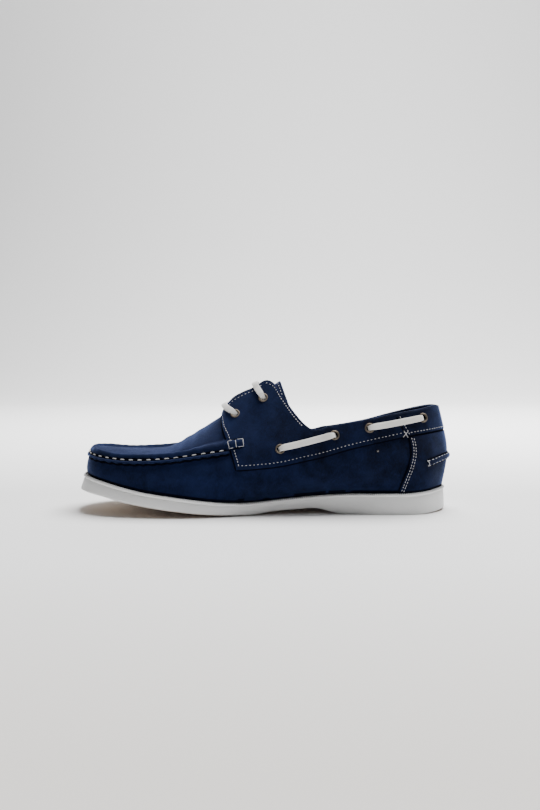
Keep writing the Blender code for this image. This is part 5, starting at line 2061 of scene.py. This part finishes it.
# The sole's sipes: how far they zigzag, half the distance between them, half their width and their depth.
SIPE_ZIGZAG = 0.004
SIPE_PITCH = 0.0022
SIPE_WIDTH = 0.0006
SIPE_DEPTH = 0.9


def new_material(title):
    """A material whose look is made with nodes."""
    made = bpy.data.materials.new(title)
    made.use_nodes = True
    return made


def parts_of(made):
    """A material's node tree, its shader and the places on its piece."""
    tree = made.node_tree
    return tree, tree.nodes["Principled BSDF"], make_node(tree, "ShaderNodeTexCoord").outputs["Object"]


@cache
def finish_of(kind):
    """A material whose colour, roughness and relief come from a group, its constants on the shader itself."""
    plan = FINISHES[kind]
    made = new_material(plan.title)
    tree, shader, place = parts_of(made)
    effect = tree.nodes.new("ShaderNodeGroup")
    effect.node_tree = plan.group()
    tree.links.new(place, effect.inputs["Vector"])
    colour = [plan.tone * part for part in getattr(bpy.context.scene.loafer, plan.colour)]
    effect.inputs["Colour"].default_value = (*colour, 1.0)
    for label, value in plan.effect.items():
        effect.inputs[label].default_value = value
    tree.links.new(effect.outputs["Colour"], shader.inputs["Base Color"])
    tree.links.new(effect.outputs["Roughness"], shader.inputs["Roughness"])
    bump = make_node(
        tree, "ShaderNodeBump",
        {"Height": effect.outputs["Height"], "Strength": plan.strength, "Distance": plan.depth * MM},
    )
    tree.links.new(bump.outputs["Normal"], shader.inputs["Normal"])
    shader.inputs["Specular IOR Level"].default_value = plan.gloss
    for label, value in plan.shader.items():
        shader.inputs[label].default_value = value
    return made


@cache
def tread_finish():
    """Rubber cut with zigzag sipes across the tread, with painted shade darkening the cuts."""
    made = finish_of("tread")
    tree, shader, place = parts_of(made)
    parts = make_node(tree, "ShaderNodeSeparateXYZ", {"Vector": place}).outputs
    zigzag = maths(tree, "PINGPONG", parts["Y"], SIPE_ZIGZAG)
    bands = maths(tree, "PINGPONG", plus(tree, parts["X"], zigzag), SIPE_PITCH)
    groove = ranged(tree, bands, (0.0, SIPE_WIDTH), SHARE)
    bump = make_node(tree, "ShaderNodeBump", {"Height": groove, "Strength": 0.8, "Distance": SIPE_DEPTH * MM})
    tree.links.new(bump.outputs["Normal"], shader.inputs["Normal"])
    base = shader.inputs["Base Color"].links[0].from_socket
    # Painted shade: the colour is darkened in the sipes.
    tree.links.new(tinted(tree, base, ranged(tree, groove, SHARE, (0.35, 1.0))), shader.inputs["Base Color"])
    return made


# The studio paper: its colour, its painted shade in front, darker and warmer, and the places between which it
# changes.
PAPER = (0.92, 0.92, 0.92, 1.0)
PAINTED_FLOOR_SHADE = (0.8, 0.772, 0.735, 1.0)
PAINTED_FLOOR_SHADE_RANGE = (-0.18, -0.42)


def floor_finish():
    """Pale paper with painted shade, a little darker and warmer towards its front."""
    made = new_material("studio floor")
    tree, shader, place = parts_of(made)
    depth = make_node(tree, "ShaderNodeSeparateXYZ", {"Vector": place}).outputs["Y"]
    # Painted shade: the paper darkens and warms towards the front.
    colour = blend(tree, ranged(tree, depth, PAINTED_FLOOR_SHADE_RANGE, SHARE), PAPER, PAINTED_FLOOR_SHADE)
    tree.links.new(colour, shader.inputs["Base Color"])
    shader.inputs["Roughness"].default_value = 0.75
    shader.inputs["Specular IOR Level"].default_value = 0.2
    return made


# ---- The stage ----

# The paper's reach to each side, the places of its flat part, and the curve that takes it up the wall.
PAPER_SIDES = 4000.0
PAPER_FLAT = (-2500.0, -1200.0, 0.0, 900.0, 1700.0)
CURVE_RADIUS = 2600.0
WALL_TOP = 5200.0

# Soft lights: place in metres, turn in degrees, size in metres and power in watts; and the room's own light.
SoftLight = namedtuple("SoftLight", "name place turn size power")
LIGHTS = (
    SoftLight("overhead softbox", (0.3, 0.28, 1.3), (-10.0, 13.0, 0.0), 1.0, 51.0),
    SoftLight("wall wash", (0.6, 0.4, 1.9), (80.0, 0.0, 0.0), 2.0, 245.0),
)
ROOM_LIGHT = 0.13

# The camera stands on the medial side, a little above the shoe, and looks a little down.
CAMERA_PLACE = (4.0, -640.0, 118.0)
CAMERA_PITCH = 3.05
CAMERA_SENSOR = 36.0
CAMERA_LENS = 34.98


def make_stage():
    """A pale floor that curves up into the wall behind, soft light from above, and the camera."""
    across = np.linspace(-PAPER_SIDES, PAPER_SIDES, 9)
    rows = [(along, 0.0) for along in PAPER_FLAT]
    for swing in np.radians(np.linspace(0.0, 90.0, 13)[1:]):
        rows.append((PAPER_FLAT[-1] + CURVE_RADIUS * math.sin(swing), CURVE_RADIUS * (1 - math.cos(swing))))
    rows.append((PAPER_FLAT[-1] + CURVE_RADIUS, WALL_TOP))
    places = np.array([[(x, y, z) for x in across] for y, z in rows])
    places -= shift()
    piece = sheet("studio_floor", places)
    pick(piece)
    bpy.ops.object.shade_smooth()
    piece.data.materials.append(floor_finish())
    world = bpy.context.scene.world or bpy.data.worlds.new("studio")
    bpy.context.scene.world = world
    world.use_nodes = True
    sky = world.node_tree.nodes["Background"]
    sky.inputs["Color"].default_value = (1.0, 1.0, 1.0, 1.0)
    sky.inputs["Strength"].default_value = ROOM_LIGHT
    for plan in LIGHTS:
        deselect()
        turn = [math.radians(angle) for angle in plan.turn]
        bpy.ops.object.light_add(type="AREA", location=plan.place, rotation=turn)
        light = bpy.context.object
        light.name = plan.name
        light.data.shape = "SQUARE"
        light.data.size = plan.size
        light.data.energy = plan.power
    deselect()
    place = (np.array(CAMERA_PLACE) + shift()) * MM
    bpy.ops.object.camera_add(location=tuple(place), rotation=(math.radians(90.0 - CAMERA_PITCH), 0.0, 0.0))
    camera = bpy.context.object
    camera.data.sensor_width = CAMERA_SENSOR
    camera.data.lens = CAMERA_LENS
    camera.data.clip_start = 0.02
    camera.data.clip_end = 30.0
    camera.data.dof.use_dof = False
    bpy.context.scene.camera = camera


# ---- Operators ----

class PieceOperator:
    """What the operators share: each can be undone."""

    bl_options = {"REGISTER", "UNDO"}


class LOAFER_OT_outsole(PieceOperator, bpy.types.Operator):
    """Mould the unit sole with its arch, low heel and tread"""

    bl_idname = "loafer.outsole"
    bl_label = "Outsole"

    def execute(self, context):
        make_outsole()
        return {"FINISHED"}


class LOAFER_OT_milled_lip(PieceOperator, bpy.types.Operator):
    """Mill the toothed lip round the sole's top edge"""

    bl_idname = "loafer.milled_lip"
    bl_label = "Milled lip"

    def execute(self, context):
        make_milled_lip()
        return {"FINISHED"}


class LOAFER_OT_insole(PieceOperator, bpy.types.Operator):
    """Lay the leather sock inside the upper"""

    bl_idname = "loafer.insole"
    bl_label = "Insole"

    def execute(self, context):
        make_insole()
        return {"FINISHED"}


class LOAFER_OT_upper(PieceOperator, bpy.types.Operator):
    """Last the vamp, plug and quarters with their lining"""

    bl_idname = "loafer.upper"
    bl_label = "Upper and lining"

    def execute(self, context):
        make_upper()
        return {"FINISHED"}


class LOAFER_OT_tongue(PieceOperator, bpy.types.Operator):
    """Shape the tongue under the throat"""

    bl_idname = "loafer.tongue"
    bl_label = "Tongue"

    def execute(self, context):
        make_tongue()
        return {"FINISHED"}


class LOAFER_OT_overlays(PieceOperator, bpy.types.Operator):
    """Cut the eyestays, the back collar and the counter"""

    bl_idname = "loafer.overlays"
    bl_label = "Overlays"

    def execute(self, context):
        make_overlays()
        return {"FINISHED"}


class LOAFER_OT_binding(PieceOperator, bpy.types.Operator):
    """Turn the collar's edge over the lining"""

    bl_idname = "loafer.binding"
    bl_label = "Collar binding"

    def execute(self, context):
        make_binding()
        return {"FINISHED"}


class LOAFER_OT_seam(PieceOperator, bpy.types.Operator):
    """Sew the gathered moccasin seam round the plug"""

    bl_idname = "loafer.seam"
    bl_label = "Moccasin seam"

    def execute(self, context):
        make_seam()
        return {"FINISHED"}


class LOAFER_OT_seam_ends(PieceOperator, bpy.types.Operator):
    """Roll the seam's ends over the eyestays and bind them"""

    bl_idname = "loafer.seam_ends"
    bl_label = "Seam ends"

    def execute(self, context):
        make_seam_tabs()
        return {"FINISHED"}


class LOAFER_OT_heel_roll(PieceOperator, bpy.types.Operator):
    """Whip the roll across the back of the counter"""

    bl_idname = "loafer.heel_roll"
    bl_label = "Heel roll"

    def execute(self, context):
        make_heel_roll()
        return {"FINISHED"}


class LOAFER_OT_stitching(PieceOperator, bpy.types.Operator):
    """Stitch the rows along every overlay's edge"""

    bl_idname = "loafer.stitching"
    bl_label = "Stitching"

    def execute(self, context):
        make_stitching()
        return {"FINISHED"}


class LOAFER_OT_eyelets(PieceOperator, bpy.types.Operator):
    """Set the rolled eyelets and the vent"""

    bl_idname = "loafer.eyelets"
    bl_label = "Eyelets"

    def execute(self, context):
        make_eyelets()
        return {"FINISHED"}


class LOAFER_OT_laces(PieceOperator, bpy.types.Operator):
    """Thread the flat lace through its eyelets"""

    bl_idname = "loafer.laces"
    bl_label = "Lace"

    def execute(self, context):
        make_side_laces()
        make_throat_laces()
        return {"FINISHED"}


class LOAFER_OT_stage(PieceOperator, bpy.types.Operator):
    """Set the pale floor, the soft light and the camera"""

    bl_idname = "loafer.stage"
    bl_label = "Stage"

    def execute(self, context):
        make_stage()
        return {"FINISHED"}


OPERATORS = (
    LOAFER_OT_stage,
    LOAFER_OT_outsole,
    LOAFER_OT_milled_lip,
    LOAFER_OT_insole,
    LOAFER_OT_upper,
    LOAFER_OT_tongue,
    LOAFER_OT_overlays,
    LOAFER_OT_binding,
    LOAFER_OT_seam,
    LOAFER_OT_seam_ends,
    LOAFER_OT_heel_roll,
    LOAFER_OT_stitching,
    LOAFER_OT_eyelets,
    LOAFER_OT_laces,
)


class LOAFER_PT_pieces(bpy.types.Panel):
    """The loafer's settings and pieces"""

    bl_idname = "LOAFER_PT_pieces"
    bl_label = "Boat-shoe loafer"
    bl_space_type = "VIEW_3D"
    bl_region_type = "UI"
    bl_category = "Loafer"

    def draw(self, context):
        layout = self.layout
        for name in LoaferSettings.__annotations__:
            layout.prop(context.scene.loafer, name)
        layout.separator()
        for operator in OPERATORS:
            layout.operator(operator.bl_idname)


CLASSES = (LoaferSettings, *OPERATORS, LOAFER_PT_pieces)


def register():
    for made in CLASSES:
        bpy.utils.register_class(made)
    bpy.types.Scene.loafer = PointerProperty(type=LoaferSettings)


def unregister():
    del bpy.types.Scene.loafer
    for made in reversed(CLASSES):
        bpy.utils.unregister_class(made)


def main():
    """Makes the stage and every piece in order, as the panel's buttons do."""
    register()
    for operator in OPERATORS:
        group, name = operator.bl_idname.split(".")
        getattr(getattr(bpy.ops, group), name)()


if __name__ == "__main__":
    main()
